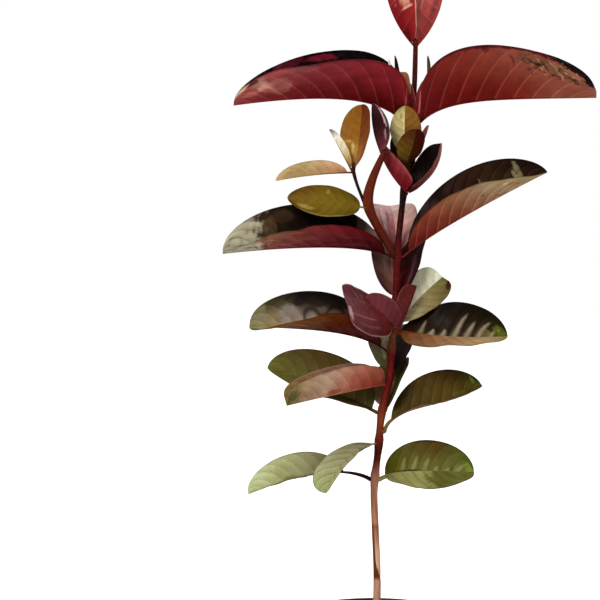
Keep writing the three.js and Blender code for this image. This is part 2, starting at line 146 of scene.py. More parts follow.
# The shells joined in one mesh, smooth shaded, with their carried values as point attributes.
# The piece rides on the root, takes the slot's finish and stands for the named solids.
def makePiece(name, shells, material, stands=()):
    counts = [len(shell["points"]) for shell in shells]
    starts = np.cumsum(counts) - counts
    quads, tris = (np.concatenate([shell[key] + start for shell, start in zip(shells, starts)])
                   for key in ("quads", "tris"))
    points = np.concatenate([shell["points"] for shell in shells])
    sizes = np.repeat([4, 3], [len(quads), len(tris)])
    mesh = bpy.data.meshes.new(name)
    mesh.vertices.add(len(points))
    mesh.vertices.foreach_set("co", (points * mm).astype(np.float32).ravel())
    mesh.loops.add(int(sizes.sum()))
    mesh.loops.foreach_set("vertex_index", np.concatenate([quads.ravel(), tris.ravel()]).astype(np.int32))
    mesh.polygons.add(len(sizes))
    mesh.polygons.foreach_set("loop_start", (np.cumsum(sizes) - sizes).astype(np.int32))
    mesh.polygons.foreach_set("use_smooth", np.ones(len(sizes), bool))
    mesh.update(calc_edges=True)
    for key in shells[0]["values"]:
        rows = np.concatenate([shell["values"][key] for shell in shells]).astype(np.float32)
        if key == "tint":
            layer = mesh.attributes.new(key, "FLOAT_COLOR", "POINT")
            layer.data.foreach_set("color", np.pad(rows, ((0, 0), (0, 1)), constant_values=1).ravel())
        else:
            layer = mesh.attributes.new(key, "FLOAT_VECTOR", "POINT")
            layer.data.foreach_set("vector", rows.ravel())
    mesh.validate()
    mesh.materials.append(material)
    piece = bpy.data.objects.new(name, mesh)
    bpy.context.scene.collection.objects.link(piece)
    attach(piece, "root")
    if stands:
        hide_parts(*stands)
    return piece


def feed(tree, socket, value):  # a socket takes a link, a colour as a hex word or a plain value
    if isinstance(value, bpy.types.NodeSocket):
        tree.links.new(value, socket)
    else:
        socket.default_value = (*tone(value)[0], 1) if isinstance(value, str) else value


def addNode(tree, kind, given={}, **settings):  # a node with its settings, its sockets fed
    node = tree.nodes.new(kind)
    for key, value in settings.items():
        setattr(node, key, value)
    for key, value in given.items():
        feed(tree, node.inputs[key], value)
    return node


def calc(tree, operation, *inputs):  # one step of arithmetic
    return addNode(tree, "ShaderNodeMath", dict(enumerate(inputs)), operation=operation).outputs[0]


def times(tree, first, second):  # the product of two
    return calc(tree, "MULTIPLY", first, second)


def addTimes(tree, first, second, third):  # the product of two, plus a third
    return calc(tree, "MULTIPLY_ADD", first, second, third)


def span(tree, value, low, high, toLow=0.0, toHigh=1.0):  # S curve from one range to another
    given = dict(enumerate((value, low, high, toLow, toHigh)))
    return addNode(tree, "ShaderNodeMapRange", given, interpolation_type="SMOOTHSTEP").outputs[0]


def mix(tree, share, first, second, way="MIX"):  # the first colour, plus a share of the second
    given = {0: share, 6: first, 7: second}
    return addNode(tree, "ShaderNodeMix", given, data_type="RGBA", blend_type=way).outputs[2]


def startGroup(name, inputs, outputs):  # inputs are numbers, or vectors where they have no value
    tree = bpy.data.node_groups.new(name, "ShaderNodeTree")
    for label, value in inputs.items():
        kind = "NodeSocketVector" if value is None else "NodeSocketFloat"
        socket = tree.interface.new_socket(label, in_out="INPUT", socket_type=kind)
        if value is not None:
            socket.default_value = value
    for label in outputs:
        tree.interface.new_socket(label, in_out="OUTPUT", socket_type="NodeSocketFloat")
    return tree, tree.nodes.new("NodeGroupInput").outputs, tree.nodes.new("NodeGroupOutput").inputs


def placeGroup(tree, group, **inputs):  # the group's outputs, with the named inputs fed
    return addNode(tree, "ShaderNodeGroup", inputs, node_tree=group).outputs


# Side veins: lines where the vein count passes a whole number, thinner towards the margin, and
# between them a fine net of cells.
veinLines, given, out = startGroup("vein lines", dict(Count=0.0, Across=0.0, Width=0.08), ["Lines", "Net"])
off = calc(veinLines, "PINGPONG", given["Count"], 0.5)
width = times(veinLines, given["Width"], span(veinLines, given["Across"], 0.0, 1.0, 1.0, 0.35))
line = calc(veinLines, "SUBTRACT", 1.0, span(veinLines, off, 0.0, width))
inside = span(veinLines, given["Across"], 0.88, 1.0, 1.0, 0.0)  # the lines stop short of the margin
feed(veinLines, out["Lines"], times(veinLines, line, inside))
spot = addNode(veinLines, "ShaderNodeCombineXYZ", {0: given["Count"], 1: given["Across"]})
cells = addNode(veinLines, "ShaderNodeVectorMath", {0: spot.outputs[0], 1: (3.2, 17, 1)},
                operation="MULTIPLY")  # cells to each vein, and to the half's width
net = addNode(veinLines, "ShaderNodeTexVoronoi", {"Vector": cells.outputs[0], "Scale": 1.0},
              feature="DISTANCE_TO_EDGE")
feed(veinLines, out["Net"], span(veinLines, net.outputs["Distance"], 0.0, 0.12, 1.0, 0.0))

# Mottle: soft noise in object space, spread from dark to light.
mottle, given, out = startGroup(
    "mottle", dict(Vector=None, Scale=60.0, Low=0.35, High=0.65, Detail=3.0), ["Value"])
noise = addNode(mottle, "ShaderNodeTexNoise", {key: given[key] for key in ("Vector", "Scale", "Detail")})
feed(mottle, out["Value"], span(mottle, noise.outputs[0], given["Low"], given["High"]))

# Strands: noise drawn out along the height, as in young bark and moulded plastic.
strands, given, out = startGroup("strands", dict(Vector=None, Scale=300.0, Stretch=0.08), ["Value"])
reach = addNode(strands, "ShaderNodeCombineXYZ", {0: 1.0, 1: 1.0, 2: given["Stretch"]})
squeeze = addNode(strands, "ShaderNodeVectorMath", {0: given["Vector"], 1: reach.outputs[0]},
                  operation="MULTIPLY")
noise = addNode(strands, "ShaderNodeTexNoise",
                {"Vector": squeeze.outputs[0], "Scale": given["Scale"], "Detail": 4})
feed(strands, out["Value"], span(strands, noise.outputs[0], 0.35, 0.65))

# Dust: lies where a surface looks up, broken by noise.
dust, given, out = startGroup("dust", dict(Vector=None, Amount=0.3), ["Mask"])
facing = addNode(dust, "ShaderNodeSeparateXYZ", {0: addNode(dust, "ShaderNodeNewGeometry").outputs["Normal"]})
noise = addNode(dust, "ShaderNodeTexNoise", {"Vector": given["Vector"], "Scale": 45, "Detail": 5})
lying = times(dust, span(dust, facing.outputs[2], 0.1, 1.0), span(dust, noise.outputs[0], 0.4, 0.7))
feed(dust, out["Mask"], times(dust, lying, given["Amount"]))


# A new material: its tree, its shader's sockets, those given already set, and object space.
def startMaterial(name, **given):
    material = bpy.data.materials.new(name)
    material.use_nodes = True
    tree = material.node_tree
    sockets = tree.nodes["Principled BSDF"].inputs
    for key, value in given.items():
        feed(tree, sockets[key], value)
    return material, tree, sockets, addNode(tree, "ShaderNodeTexCoord").outputs["Object"]


# The shader's sockets fed by name, and its normal raised by a height of the given depth.
def dress(tree, sockets, height, strength, depth, **given):
    bump = addNode(tree, "ShaderNodeBump", {"Strength": strength, "Distance": depth * mm, "Height": height})
    for key, value in {**given, "Normal": bump.outputs[0]}.items():
        feed(tree, sockets[key], value)


# What a piece carries at its points, as a colour or as three numbers.
def carriedTint(tree):
    return addNode(tree, "ShaderNodeAttribute", attribute_name="tint").outputs["Color"]


def carriedThree(tree, name):
    three = addNode(tree, "ShaderNodeAttribute", attribute_name=name).outputs["Vector"]
    return addNode(tree, "ShaderNodeSeparateXYZ", {0: three}).outputs


print("shader groups made")

# A blade's thickness and a rib's radius go from a first value to a last one. Quilting, waves and
# crumples are shares of the length, and slant is how far the side veins run ahead, at the foot and
# at the tip. gloss is the roughness of each side, and leastHalf keeps the narrow ends open. The
# blade's grid has a least count of rows and columns, and more for each millimetre.
leafLook = dict(
    thickness=(0.55, 0.3), quilt=0.005, wave=0.012, crumple=0.0026, slant=(0.07, 0.3),
    gloss=dict(upper=0.34, under=0.46), coat=dict(upper=0.02, under=0.0), veinWidth=0.1,
    rib=(1.0, 0.22), ribSides=12, ribGloss=0.45, stalkRings=7, stalkSwell=1.6,
    leastHalf=0.45, rows=(44, 0.8), columns=(10, 0.32),
)

leafFinishes = {
    "leaf_red": dict(speck="2a0a0c", patchy=(0.62, 0.5, 0.5, 1), net=0.1, veinTone="b88478",
                     veinShare=0.2, veinAbove=0.35),
    "leaf_bronze": dict(speck="1c120c", patchy=(0.6, 0.55, 0.5, 1), net=0.1, veinTone="a89478",
                        veinShare=0.3, veinAbove=0.7),
    "leaf_green": dict(speck="2e2c10", patchy=(0.66, 0.66, 0.5, 1), net=0.12, veinTone="a8a878",
                       veinShare=0.3, veinAbove=1),
}


# The point tint, drifted in patches and specked; the side veins multiply it by one plus the leaf's
# vein strength, pale it by a share of that, stand up from the lower side and sink into the upper.
# A painted shade darkens each space between side veins outwards, as its quilting would be shaded.
def leafMaterial(slot, look):
    given = {"Specular IOR Level": 0.03, "Coat Roughness": 0.3}
    material, tree, sockets, place = startMaterial(slot, **given)
    count, across, topside = carriedThree(tree, "blade")
    strength, roughness, coat = carriedThree(tree, "finish")
    veins = placeGroup(tree, veinLines, Count=count, Across=across, Width=leafLook["veinWidth"])
    patch = placeGroup(tree, mottle, Vector=place, Scale=95.0, Low=0.36, High=0.68)["Value"]
    speck = placeGroup(tree, mottle, Vector=place, Scale=480.0, Low=0.64, High=0.7, Detail=2.0)["Value"]
    grain = placeGroup(tree, mottle, Vector=place, Scale=900.0, Low=0.3, High=0.7)["Value"]
    drift = mix(tree, times(tree, patch, 0.4), carriedTint(tree), look["patchy"], "MULTIPLY")
    specked = mix(tree, times(tree, speck, 0.28), drift, look["speck"])
    lines = times(tree, veins["Lines"], strength)
    panelShade = span(tree, calc(tree, "FRACT", count), 0.0, 1.0, 0.08, -0.12)  # painted shade: each space between side veins darkens outwards
    gain = addTimes(tree, veins["Net"], look["net"], calc(tree, "ADD", lines, panelShade))
    veined = addNode(tree, "ShaderNodeVectorMath", {0: specked, "Scale": calc(tree, "ADD", gain, 1.0)},
                     operation="SCALE").outputs[0]
    sunk = times(tree, times(tree, veins["Lines"], topside), -1.0)
    height = addTimes(tree, grain, 0.14, addTimes(tree, veins["Net"], 0.15, sunk))
    dress(tree, sockets, height, 0.5, 0.35, **{
        "Base Color": mix(tree, times(tree, lines, look["veinShare"]), veined, look["veinTone"]),
        "Roughness": addTimes(tree, patch, 0.12, roughness), "Coat Weight": coat,
    })
    return material


leafMaterials = {slot: leafMaterial(slot, look) for slot, look in leafFinishes.items()}

# Where each leaf starts (a height on the stem or a point), how it runs and how its halves fold, as
# in the solids: left and right, or fold for both, as one angle or as those at foot, middle and tip.
# foot and point shape the outline's two ends. root is where the stalk comes out, if not where the
# leaf starts, and girth thickens it. under and upper colour the two sides from foot to tip: the
# right half follows a slash, and the colours along the margin follow a bar. A mark is a ragged patch
# on one side of one half: its colour, its place along and across, its reach along and across, its
# strength; the marks that are painted highlights or painted shading are noted at their leaves.
# Wrinkles are thin lines inside such a patch, with a pace that sets how close they lie. Streaks are
# painted highlights: pale licks between the side veins, out from the midrib, with a strength. rim is
# the margin's colour, else the tint is darkened there; the pale rims noted at their leaves are
# painted highlights.
leaves = {
    # Its pale rim is a painted highlight along the margin.
    "leaf_tip_left": dict(
        at=(29.8, 0, 575.9), root=(31.4, 0, 573.5), heading=184, length=80, width=50, pitch=(46, 102),
        left=(30, 52, 46), right=(50, 62, 56), foot=0.52, stalk=0.02, slot="leaf_red", vein=0.25,
        veins=7, rim="f0b8a8", under="5e080d 7a161e 91292c a8524a | 8d1f20 932927 a44640 ca8b78",
        upper="8a2a28 c08070 cc9c88 c89888 | 7a2220 b06c60 d0a894 c8a08c",
        marks={"under left": "c08a74 .6 .62 .26 .42 .95, 9a6450 .56 .74 .12 .16 .8, "
                   "e8c0aa .34 .6 .012 .3 .7, dcae9c .6 .2 .24 .03 .6",
               "upper right": "8a6048 .5 .5 .2 .08 .7, e8c4ac .5 .7 .22 .08 .7"},
        wrinkles={"under left": "6a3a2c .6 .6 .24 .4 .6 1.4"}),
    # Its pale rim is a painted highlight along the margin.
    "leaf_tip_right": dict(
        at=(33.4, 0, 575.9), root=(31.8, 0, 573.5), heading=-16, length=82, width=53, pitch=(44, 112),
        left=(50, 60, 58), right=(60, 72, 70), foot=0.42, stalk=0.02, slot="leaf_red", vein=0.3,
        veins=7, rim="eca097", under="8a2b2c a0413e a85651 b06760 | bc7168 a04944 a46158 b4877d",
        upper="6a1c1e 803034 904a48",
        marks={"under right": "64303a .45 .15 .35 .1 .6, c87874 .5 .55 .25 .05 .6, "
                   "d0847c .3 .7 .12 .06 .5, e0a89a .2 .97 .16 .05 .8"}),
    # The pale mark a05a56 at its foot is a painted highlight on a fold.
    "leaf_first_left": dict(
        at=508, heading=184, length=147, width=82, pitch=(2, -9), rise=66, riseShare=0.17,
        left=(64, 40, 66), right=(80, 84, 84), foot=0.2, point=0.55, stalk=0.01, slot="leaf_red",
        vein=0.36, veins=10,
        under="52080c 5d0c0e 610e10 681418 752226 843434 | 6e141c 7d2028 862c34 86343a 954848 975650",
        upper="0c0204 0e0204 0a0203 0c0203 2a080e 3a0c14 | 0a0203 0a0203 0a0203 0c0204 1c060a 1a0608",
        marks={"upper right": "6a1226 .5 .88 .085 .08 .95, 4c0e1a .68 .9 .1 .12 .9",
               "under left": "925450 .74 .5 .07 .3 .8, 94645c .85 .75 .05 .25 .9, "
                   "3a1410 .885 .9 .04 .12 .8, ccaf94 .95 .93 .05 .13 .9, a85c54 .9 .45 .05 .16 .7, "
                   "a05a56 .03 .6 .005 .35 .7, 3c0a0c .06 .1 .06 .25 .5, 8c4a4c .62 .9 .09 .12 .7"},
        wrinkles={"under left": "5a2a20 .86 .8 .07 .22 .8 2.2, e0a894 .76 .55 .12 .35 .5 .8"}),
    # The pale mark b4584e at its foot is a painted highlight.
    "leaf_first_right": dict(
        at=508, heading=-4, length=150, width=88, pitch=(-3, 0), rise=66, riseShare=0.17,
        left=(80, 84, 84), right=(76, 70, 34), foot=0.23, point=0.42, stalk=0.01, slot="leaf_red",
        vein=0.4, veins=10,
        under="560a0e 5a0c0c 5e100c 6e2018 8a483a 945244 | 5a0e14 6e221c 7a3428 864838 8a4e3e 9c6054",
        upper="3a0e14 3c1018 2a0a10 16060a 100608",
        marks={"under right": "4a0e16 .4 1.02 .4 .1 .9, 420c12 .4 .97 .03 .12 .8, "
                   "6a4230 .62 .84 .07 .14 .9, 6e4832 .71 .8 .07 .17 .95, 6e4a33 .8 .74 .07 .18 .95, "
                   "764a34 .88 .62 .05 .16 .95, 5a0f1c .72 1.02 .16 .12 .95, 140305 .86 1 .1 .19 .97, "
                   "140305 .95 .9 .035 .26 .97, b4584e .02 .5 .012 .5 .8"},
        wrinkles={"under right": "2a0c0a .75 .76 .22 .25 .95 3.2, be8a6c .79 .73 .16 .21 .75 4.2"}),
    "bud_first_left": dict(
        at=508, heading=130, length=63, width=7, pitch=(68, 84), fold=(16, 30, 30), slot="leaf_red",
        under="8a3a34 5a1c1c 1c0c0c"),
    "bud_first_right": dict(
        at=508, heading=37, length=65, width=7, pitch=(46, 108), fold=30,
        under="7a5424 a07c3c 8a7038 3a2c1c"),
    # Its two pale marks on the left half are painted highlights near the edge; its mark on the right half is
    # painted shading.
    "leaf_second_left": dict(
        at=(25.4, -5, 456.2), root=(22.6, -1, 453.5), heading=184, length=51, width=26.5,
        pitch=(42, 76), left=(40, 66, 60), right=(84, 84, 70), foot=0.16, point=0.6, slot="leaf_red",
        vein=0.12, under="5a0c12 6c1820 6e2028 5c1c22 | 5e0e14 802c34 7a2c34 6a2228",
        upper="2a0a0c 30100e 2a0c0e",
        marks={"under left": "8e4a4a .3 .9 .3 .08 .7, a06462 .7 .85 .2 .06 .6",
               "under right": "6a3030 .5 .5 .4 .3 .4"}),
    "leaf_second_right": dict(
        at=459, root=(26.6, -2.6, 460.6), heading=-2, length=49, width=33, pitch=(18, 92),
        left=(60, 84, 80), right=10, foot=0.3, point=0.3, stalk=0.02, girth=2.4, slot="leaf_red",
        vein=0.1, rim="7a4038", under="5a1418 8a4440 a87068", upper="1c0606 120405 0e0304 160608"),
    "leaf_second_pale": dict(
        at=485, heading=-104, length=43, width=26, pitch=(46, 108), fold=16, vein=0.06,
        under="583c14 784e1c 805624 785420 / 9a8a54 bcae7a c4b47c a89c68 | 8a7c48 a8a074 b0a878 988c58",
        upper="8a6c30",
        marks={"under right": "e4d8ac .55 0 .35 .12 .8, 6a6040 .78 .3 .08 .08 .7"}),
    "leaf_second_olive": dict(
        at=(23.6, -4.7, 478.4), heading=-72, length=35, width=24, pitch=(34, 66), fold=20, vein=0.05,
        under="2a1a0b 441a0b 44140b 3b0c0b / 443411 5a4412 533511 40170a | 35250e 624c16 563712 3f170a",
        upper="4a3a14 4a2010 401c10"),
    "leaf_second_point": dict(
        at=484, heading=-20, length=30, width=10, pitch=(48, 76), fold=40, slot="leaf_red",
        under="5a1c18 7e4434 8a5440", upper="6a2c24 905444 a06a50"),
    "leaf_second_back": dict(
        at=(23.1, 3.6, 468), heading=98, length=46, width=23, pitch=(56, 84), fold=24, slot="leaf_red",
        under="5a1c20 4a1a1e 4a1c1c", upper="2a0c0c 30100e 260e0e"),
    # The pale cap over its tip, b0ae96 below and aaa68e above, is a painted sheen.
    "leaf_third_left": dict(
        at=406, heading=183, length=137, width=70, pitch=(2, -7), rise=24, left=(34, 23, 8),
        right=(60, 84, 84), foot=0.5, point=0.54, slot="leaf_red", vein=0.14, crumple=1.6,
        under="370506 4c0b0f 620f19 6f1f24 7f3733 884b31 8a5940 | "
              "46080a 651019 77232a 7f3733 885944 8e5f48 92664c",
        upper="6a5048 140a0a 0e0606 120a08 2a1c12 4a3a28 4a3a28 | "
              "3a2c28 0e0605 0a0403 120805 22160c 3a2c1c 4a3c2c",
        marks={"under left": "b0ae96 1.02 .5 .285 1.7 1, c8c4aa .78 .55 .02 .45 .7, "
                   "4c2a18 .735 .2 .012 .35 .8, a06c54 .71 .75 .02 .3 .6, 8e8c74 .9 .25 .06 .2 .5",
               "upper right": "aaa68e 1.02 .4 .3 1.7 1, 54432f .7 .5 .05 .4 .8, "
                   "3a2a1c .62 .75 .08 .2 .7, 8a6c68 .08 .6 .055 .6 .85, 5c4a44 .14 .8 .04 .3 .6"},
        wrinkles={"under left": "5a5644 .87 .5 .13 .6 .75 1.2",
                  "upper right": "6a6450 .88 .3 .14 .6 .5 1.4"}),
    "leaf_third_right": dict(
        at=406, heading=-4, length=133, width=64, pitch=(31, 26), rise=12, left=(70, 84, 84),
        right=(50, 32, 0), foot=0.65, point=0.6, slot="leaf_red", vein=0.85, veins=12,
        under="60181a 70251a 7f3f29 966c53 9d8560 9a8a5e | 651c15 863f2e 9a674a a69071 a8996c 968555",
        upper="180504 240807 240c07 2e190b 332210 29190b 1f0c07 | "
              "110304 180505 1f0906 271309 2c1b0b 1a0b06 0f0504",
        marks={"upper left": "7c7454 .84 .45 .02 .5 .85, a09878 .81 .3 .012 .3 .7, "
                   "746452 .6 .4 .008 .25 .8, 140808 .72 .12 .01 .15 .8, 120606 .78 .15 .012 .15 .8",
               "under right": "e0bc9c .72 .75 .02 .05 .9, a07858 .8 .5 .1 .35 .7"},
        wrinkles={"under right": "5a2c1c .7 .4 .14 .3 .7 2.4"}),
    "leaf_third_back": dict(
        at=406, heading=94, length=68, width=40, pitch=(80, 6), fold=(20, 14, 10), foot=0.6, point=0.35,
        slot="leaf_bronze", vein=0.1, under="5a3030 7a5a58 7a5a58",
        upper="5f181d b17175 ce9da0 9e6266 | 771e25 9e444e b16a70 77343a / 893945 e3a9a5 e6c0b9 e6aea5",
        marks={"upper right": "b89690 .5 .4 .4 .1 .5",
               "upper left": "ccb6b2 .5 .45 .3 .08 .8, 4a3438 .55 .25 .2 .04 .7, b49c9a .45 .7 .3 .06 .6"}),
    # Its upper side is painted lit on the left half and painted in shade on the right half.
    "leaf_fourth_back": dict(
        at=369, heading=82, length=96, width=54, pitch=(66, 20), fold=(40, 36, 30), foot=0.42,
        slot="leaf_bronze", vein=0.15, under="3a1c1e 4a2c2e 4a2c2e",
        upper="743f3d 936a60 a67b71 c2928e | 2c1112 5e3f3a 815b57 905557 / "
              "5b0e17 421317 351714 421a1d | 230c0c 291112 19090c 2c1117",
        marks={"upper left": "8a746c .45 .5 .3 .08 .6, 3a2c28 .4 .3 .25 .05 .6",
               "upper right": "54343a .2 .7 .2 .1 .7"}),
    # Its pale rim and its pale marks c49aa2, a87884, 8e5a66 and 8a5660 are painted highlights.
    "leaf_fourth_front": dict(
        at=357, heading=224, length=52, width=46, pitch=(8, 16), left=(-70, -60, -58),
        right=(50, 55, 55), foot=0.26, point=0.12, stalk=0.02, slot="leaf_bronze", vein=0.04,
        crumple=2.2, rim="b08a90", under="4a1a1c 5a282c 4e222c",
        upper="621f1d 67282c 6d373e 704047 | 531a18 581f23 622d32 653439",
        marks={"upper left": "c49aa2 .95 .35 .05 .4 .8, a87884 .62 .3 .34 .03 .5, "
                   "8e5a66 .55 .62 .34 .05 .4, 4a161c .3 .85 .3 .12 .6",
               "upper right": "8a5660 .6 .4 .34 .06 .4"}),
    "leaf_fourth_pale": dict(
        at=352, heading=22, length=55, width=35, pitch=(51, 36), left=(40, 65, 60),
        right=(-30, -42, -30), foot=0.5, point=0.24, girth=3.2, vein=0.08, under="8a8468 a8a284 a8a284",
        upper="ccbbb5 cec4b2 c7c7b0 ccd3bd / a8a284 9a906e 80744a 64583a | a09872 887c56 6a5e38 584626",
        marks={"upper left": "b4a89a .25 .4 .2 .4 .6, 8c7c70 .3 .35 .03 .3 .6",
               "upper right": "34140f .95 .8 .1 .25 .9, 6e7038 .9 .3 .1 .2 .5"}),
    "leaf_fifth_left": dict(
        at=331, heading=183, length=113, width=62, pitch=(1, 0), rise=36, riseShare=0.26,
        left=(30, 24, -16), right=(60, 84, 84), foot=0.4, point=0.46, slot="leaf_bronze", vein=0.06,
        crumple=1.4,
        under="320a0a 4d0f0e 59190c 60320f 673a1c 6c4330 | 3e110e 5b170c 6a320f 7f4b18 86532a 7f5740",
        upper="321918 46332a 927e6e a08c79 978565 958c58 | 160c09 0c0706 0c0806 18120d 35301f 59572e",
        marks={"upper right": "928a80 .42 .12 .24 .28 .9, 8a8078 .7 .4 .1 .35 .85, "
                   "140e0c .45 .85 .3 .3 .8, a8a08e .72 .12 .06 .2 .7, 8c886c .95 .5 .1 .6 .6",
               "upper left": "a8a084 .85 .4 .12 .5 .5"},
        wrinkles={"upper right": "1c1412 .5 .4 .4 .5 .85 1.3"}),
    "leaf_fifth_right": dict(
        at=347, heading=-11, length=88, width=56, pitch=(-10, 4), left=(36, 80, 82),
        right=(-44, -15, -14), foot=0.52, point=0.52, stalk=0.04, girth=2.8, slot="leaf_bronze",
        vein=0.08, rib="5c2f16 6a3c20 7a5030", under="6a3420 74481f 8a6438 8e7444",
        upper="271106 200e04 1d0e03 201204 281d07 342d0a | "
              "130703 100702 0e0702 100902 110b03 171404 / 6c4022 7a5030 9a7452 b08e68 b49870 8c8048",
        highlightStreaks={"upper left": "aca086 .72"},
        marks={"upper left": "525c14 .93 .25 .08 .35 .85, 7a7c34 .92 .3 .015 .12 .7, "
                   "6e6640 .8 .12 .05 .2 .7",
               "upper right": "5e3014 .03 .4 .05 1 .6"}),
    "leaf_sixth_left": dict(
        at=304, heading=207, length=88, width=44, pitch=(-8, -11), left=(56, 66, 60),
        right=(60, 78, 70), foot=0.18, point=0.24, stalk=0.02, slot="leaf_bronze", vein=0.06,
        rim="8a7458",
        under="8a3a2c 9c4838 ac6c5a b4907a a08468 6c6438 | 96503e a86450 b8826e bca08c b09672 6e643c",
        upper="7a3c30 94685a 84703c",
        marks={"under left": "8a3c20 .52 .1 .09 .14 .7, a05048 .3 .5 .05 .25 .6, 545428 .97 .7 .1 .6 .8, "
                   "ac8a76 .8 .15 .1 .12 .6, 8c7c50 .9 .85 .06 .2 .6"}),
    # Its upper side is painted lit on the left half and painted in shade on the right half.
    "leaf_sixth_back": dict(
        at=311, heading=84, length=58, width=46, pitch=(58, 20), fold=(34, 34, 30), slot="leaf_bronze",
        under="3c2828", upper="5a5830 74704c 8c8a66 5a5840 / 1c0c10 2e1a20 2a181c 1c0c0c",
        marks={"upper left": "b4b090 .4 .3 .25 .12 .7"}),
    "leaf_seventh_left": dict(
        at=(1, 0.3, 282), heading=176, length=95, width=56, pitch=(26, 18), left=(0, -12, -12),
        right=(70, 84, 84), foot=0.42, point=0.52, girth=1.8, vein=0.22, under="4a3c24 50502a 5c5a30",
        upper="36250e 493c17 5a5127 5f582e 696430 6b6830 / "
              "473c1b 494320 5d562b 625a30 645f2e 69682e | 332a10 3f3817 554a23 5d4624 64562b 5a5d22",
        marks={"upper right": "2a300f .25 .75 .1 .2 .6, 5a6030 .22 .7 .02 .08 .6, "
                   "8a8a5c .33 .4 .008 .3 .6",
               "upper left": "382e10 .2 .5 .2 .8 .7"}),
    "leaf_seventh_right": dict(
        at=267, heading=4, length=89, width=50, pitch=(0, 25), rise=84, riseShare=0.14,
        left=(50, 78, 78), right=(10, 6, 4), foot=0.55, point=0.5, stalk=0.12, girth=2.2, vein=0.2,
        under="6e5a2c 7a5a44 86664a 6a5c30",
        upper="4d3a0d 46340f 54411b 5b491b 544211 565b1d | 37290a 3c2e0f 463613 3e2e0d 322406 2b320d",
        marks={"upper left": "6e7a3a .93 .6 .02 .25 .7, 5c5a24 .75 .08 .1 .08 .6, "
                   "74704a .52 .4 .006 .45 .8, 140e06 .6 1 .35 .05 .8",
               "upper right": "8a5c48 .5 .6 .15 .6 .7"}),
    "leaf_seventh_back": dict(
        at=282, heading=46, length=49, width=38, pitch=(64, 54), fold=(36, 36, 30), foot=0.45, vein=0.1,
        under="5a5028 6a6030 6a6030", upper="9c7460 6e5c3c 544e28 504c22 / 4a4220 443e1c 3c3818"),
    "leaf_eighth_front": dict(
        at=257, heading=222, length=68, width=42, pitch=(-6, -60), left=(10, 25, 30), right=10,
        foot=0.7, point=0.42, vein=-0.5, under="6a6a40 7c7c54 84845c",
        upper="5e5434 8c8864 96946e 9ea076 989e6c | 4e4a28 84805c a0a07c a4a880 949a68",
        marks={"upper left": "6e6c44 .5 .9 .4 .12 .6"}),
    "leaf_ninth_left": dict(
        at=229, heading=178, length=101, width=40, pitch=(0, -24), rise=30, left=5, right=(40, 72, 72),
        foot=0.5, point=0.55, stalk=0.22, girth=2.1, vein=0.12, rib="1c0a08 3a2c18 7a7a44 8a8c58",
        under="4a2c20 7e7e50 8a8a54",
        upper="210d0c 635e39 787747 979b68 a9b181 a9b483 / "
              "2e1d13 74704b 908f6a 9c9d6c afb588 b4bc92 | 3f301e 787550 90916c a9ad7f b8bf97 afba8d",
        marks={"upper left": "5c5a26 .5 .4 .13 .5 .7",
               "upper right": "7c7c50 .55 .1 .05 .06 .7"}),
    "leaf_ninth_right": dict(
        at=229, heading=4, length=77, width=50, pitch=(2, -4), rise=26, left=(50, 76, 76),
        right=(-20, -26, -20), foot=0.42, point=0.5, stalk=0.06, girth=2.6, vein=0.16, under="8a8458",
        upper="4a480c 504f12 5c5824 5e5c28 606432 5a6a22 | "
              "44430c 4a4410 4e4016 4c3a12 4e501c 3c5216 / 7c7a4a 8e8e56 92925a 70743a 84884a 6c7a30",
        highlightStreaks={"upper left": "a4a670 .45",
                 "upper right": "b0b084 .4"},
        marks={"upper left": "2e2408 .5 1 .3 .06 .8, 34400c .75 .08 .012 .15 .8, "
                   "7c8c2e .93 .35 .05 .3 .6, 36300a .25 .02 .22 .04 .9",
               "upper right": "565420 .78 .5 .36 1.1 .75"}),
    "leaf_side_olive": dict(
        at=(-10.3, -11.9, 444.6), heading=182, length=61, width=30, pitch=(10, 4), left=(-40, -58, -58),
        right=(40, 62, 62), foot=0.4, point=0.58, vein=0.1, under="6a5a14",
        upper="675410 6a5915 6e5b18 6e541b 684d1a | 56400d 5b4a0e 675113 5f4310 462f0a",
        marks={"upper left": "969048 .75 .6 .15 .2 .6, 4c4416 .55 .25 .08 .04 .6, a49a5c .5 .97 .5 .05 .6",
               "upper right": "8a8640 .45 .6 .03 .2 .6"}),
    "leaf_side_tan": dict(
        at=(-20.6, -12, 472.4), heading=184, length=60, width=28, pitch=(-2, -12), fold=(40, 50, 50),
        foot=0.6, point=0.62, vein=0.04, rib="4a2018 8a6a4a a08660",
        under="bc826a d2a275 cdac78 bea06a d7b381 | cd9073 d7b085 cdb381 c3a76e e0be8f",
        upper="b49a70 ac8e66 a8845a",
        marks={"under left": "c8bc98 .55 .5 .02 .12 .7, c4b488 .72 .6 .015 .1 .7"}),
    "leaf_side_gold": dict(
        at=(-17.9, -12.4, 474), heading=50, length=54, width=35, pitch=(72, 86), left=12, right=26,
        foot=0.6, point=0.48, vein=0.06, rib="4a1c10 6a3a18 8a5c20 7a4418", under="8e6a20",
        upper="ba9053 af8336 8c5b16 825313 7b4815 | ab7f46 956b2a 8a6022 805616 8a6016 / "
              "a47243 956033 733c1a 6c3015 562410 | 8f5326 7e411d 773e1e 6e3416 5d2610",
        marks={"upper left": "dcc484 .3 .3 .12 .1 .6, c4a45a .42 .6 .02 .3 .6"}),
    "leaf_side_small": dict(
        at=(-20.2, -13.4, 474.4), heading=178, length=36, width=13, pitch=(62, 60), fold=(50, 60, 50),
        vein=0.03, rib="3a1c10 8a5a30 b89c6c", under="8a5a30 b89c6c dcd0b4 ece6d8 4a3c2c",
        upper="b89c60 c8b080 d0c09a"),
    # Its pale rim and its two pale marks are painted highlights.
    "leaf_side_dark": dict(
        at=(3.8, -16.2, 486.6), heading=178, length=41, width=26, pitch=(64, 94), fold=(60, 74, 70),
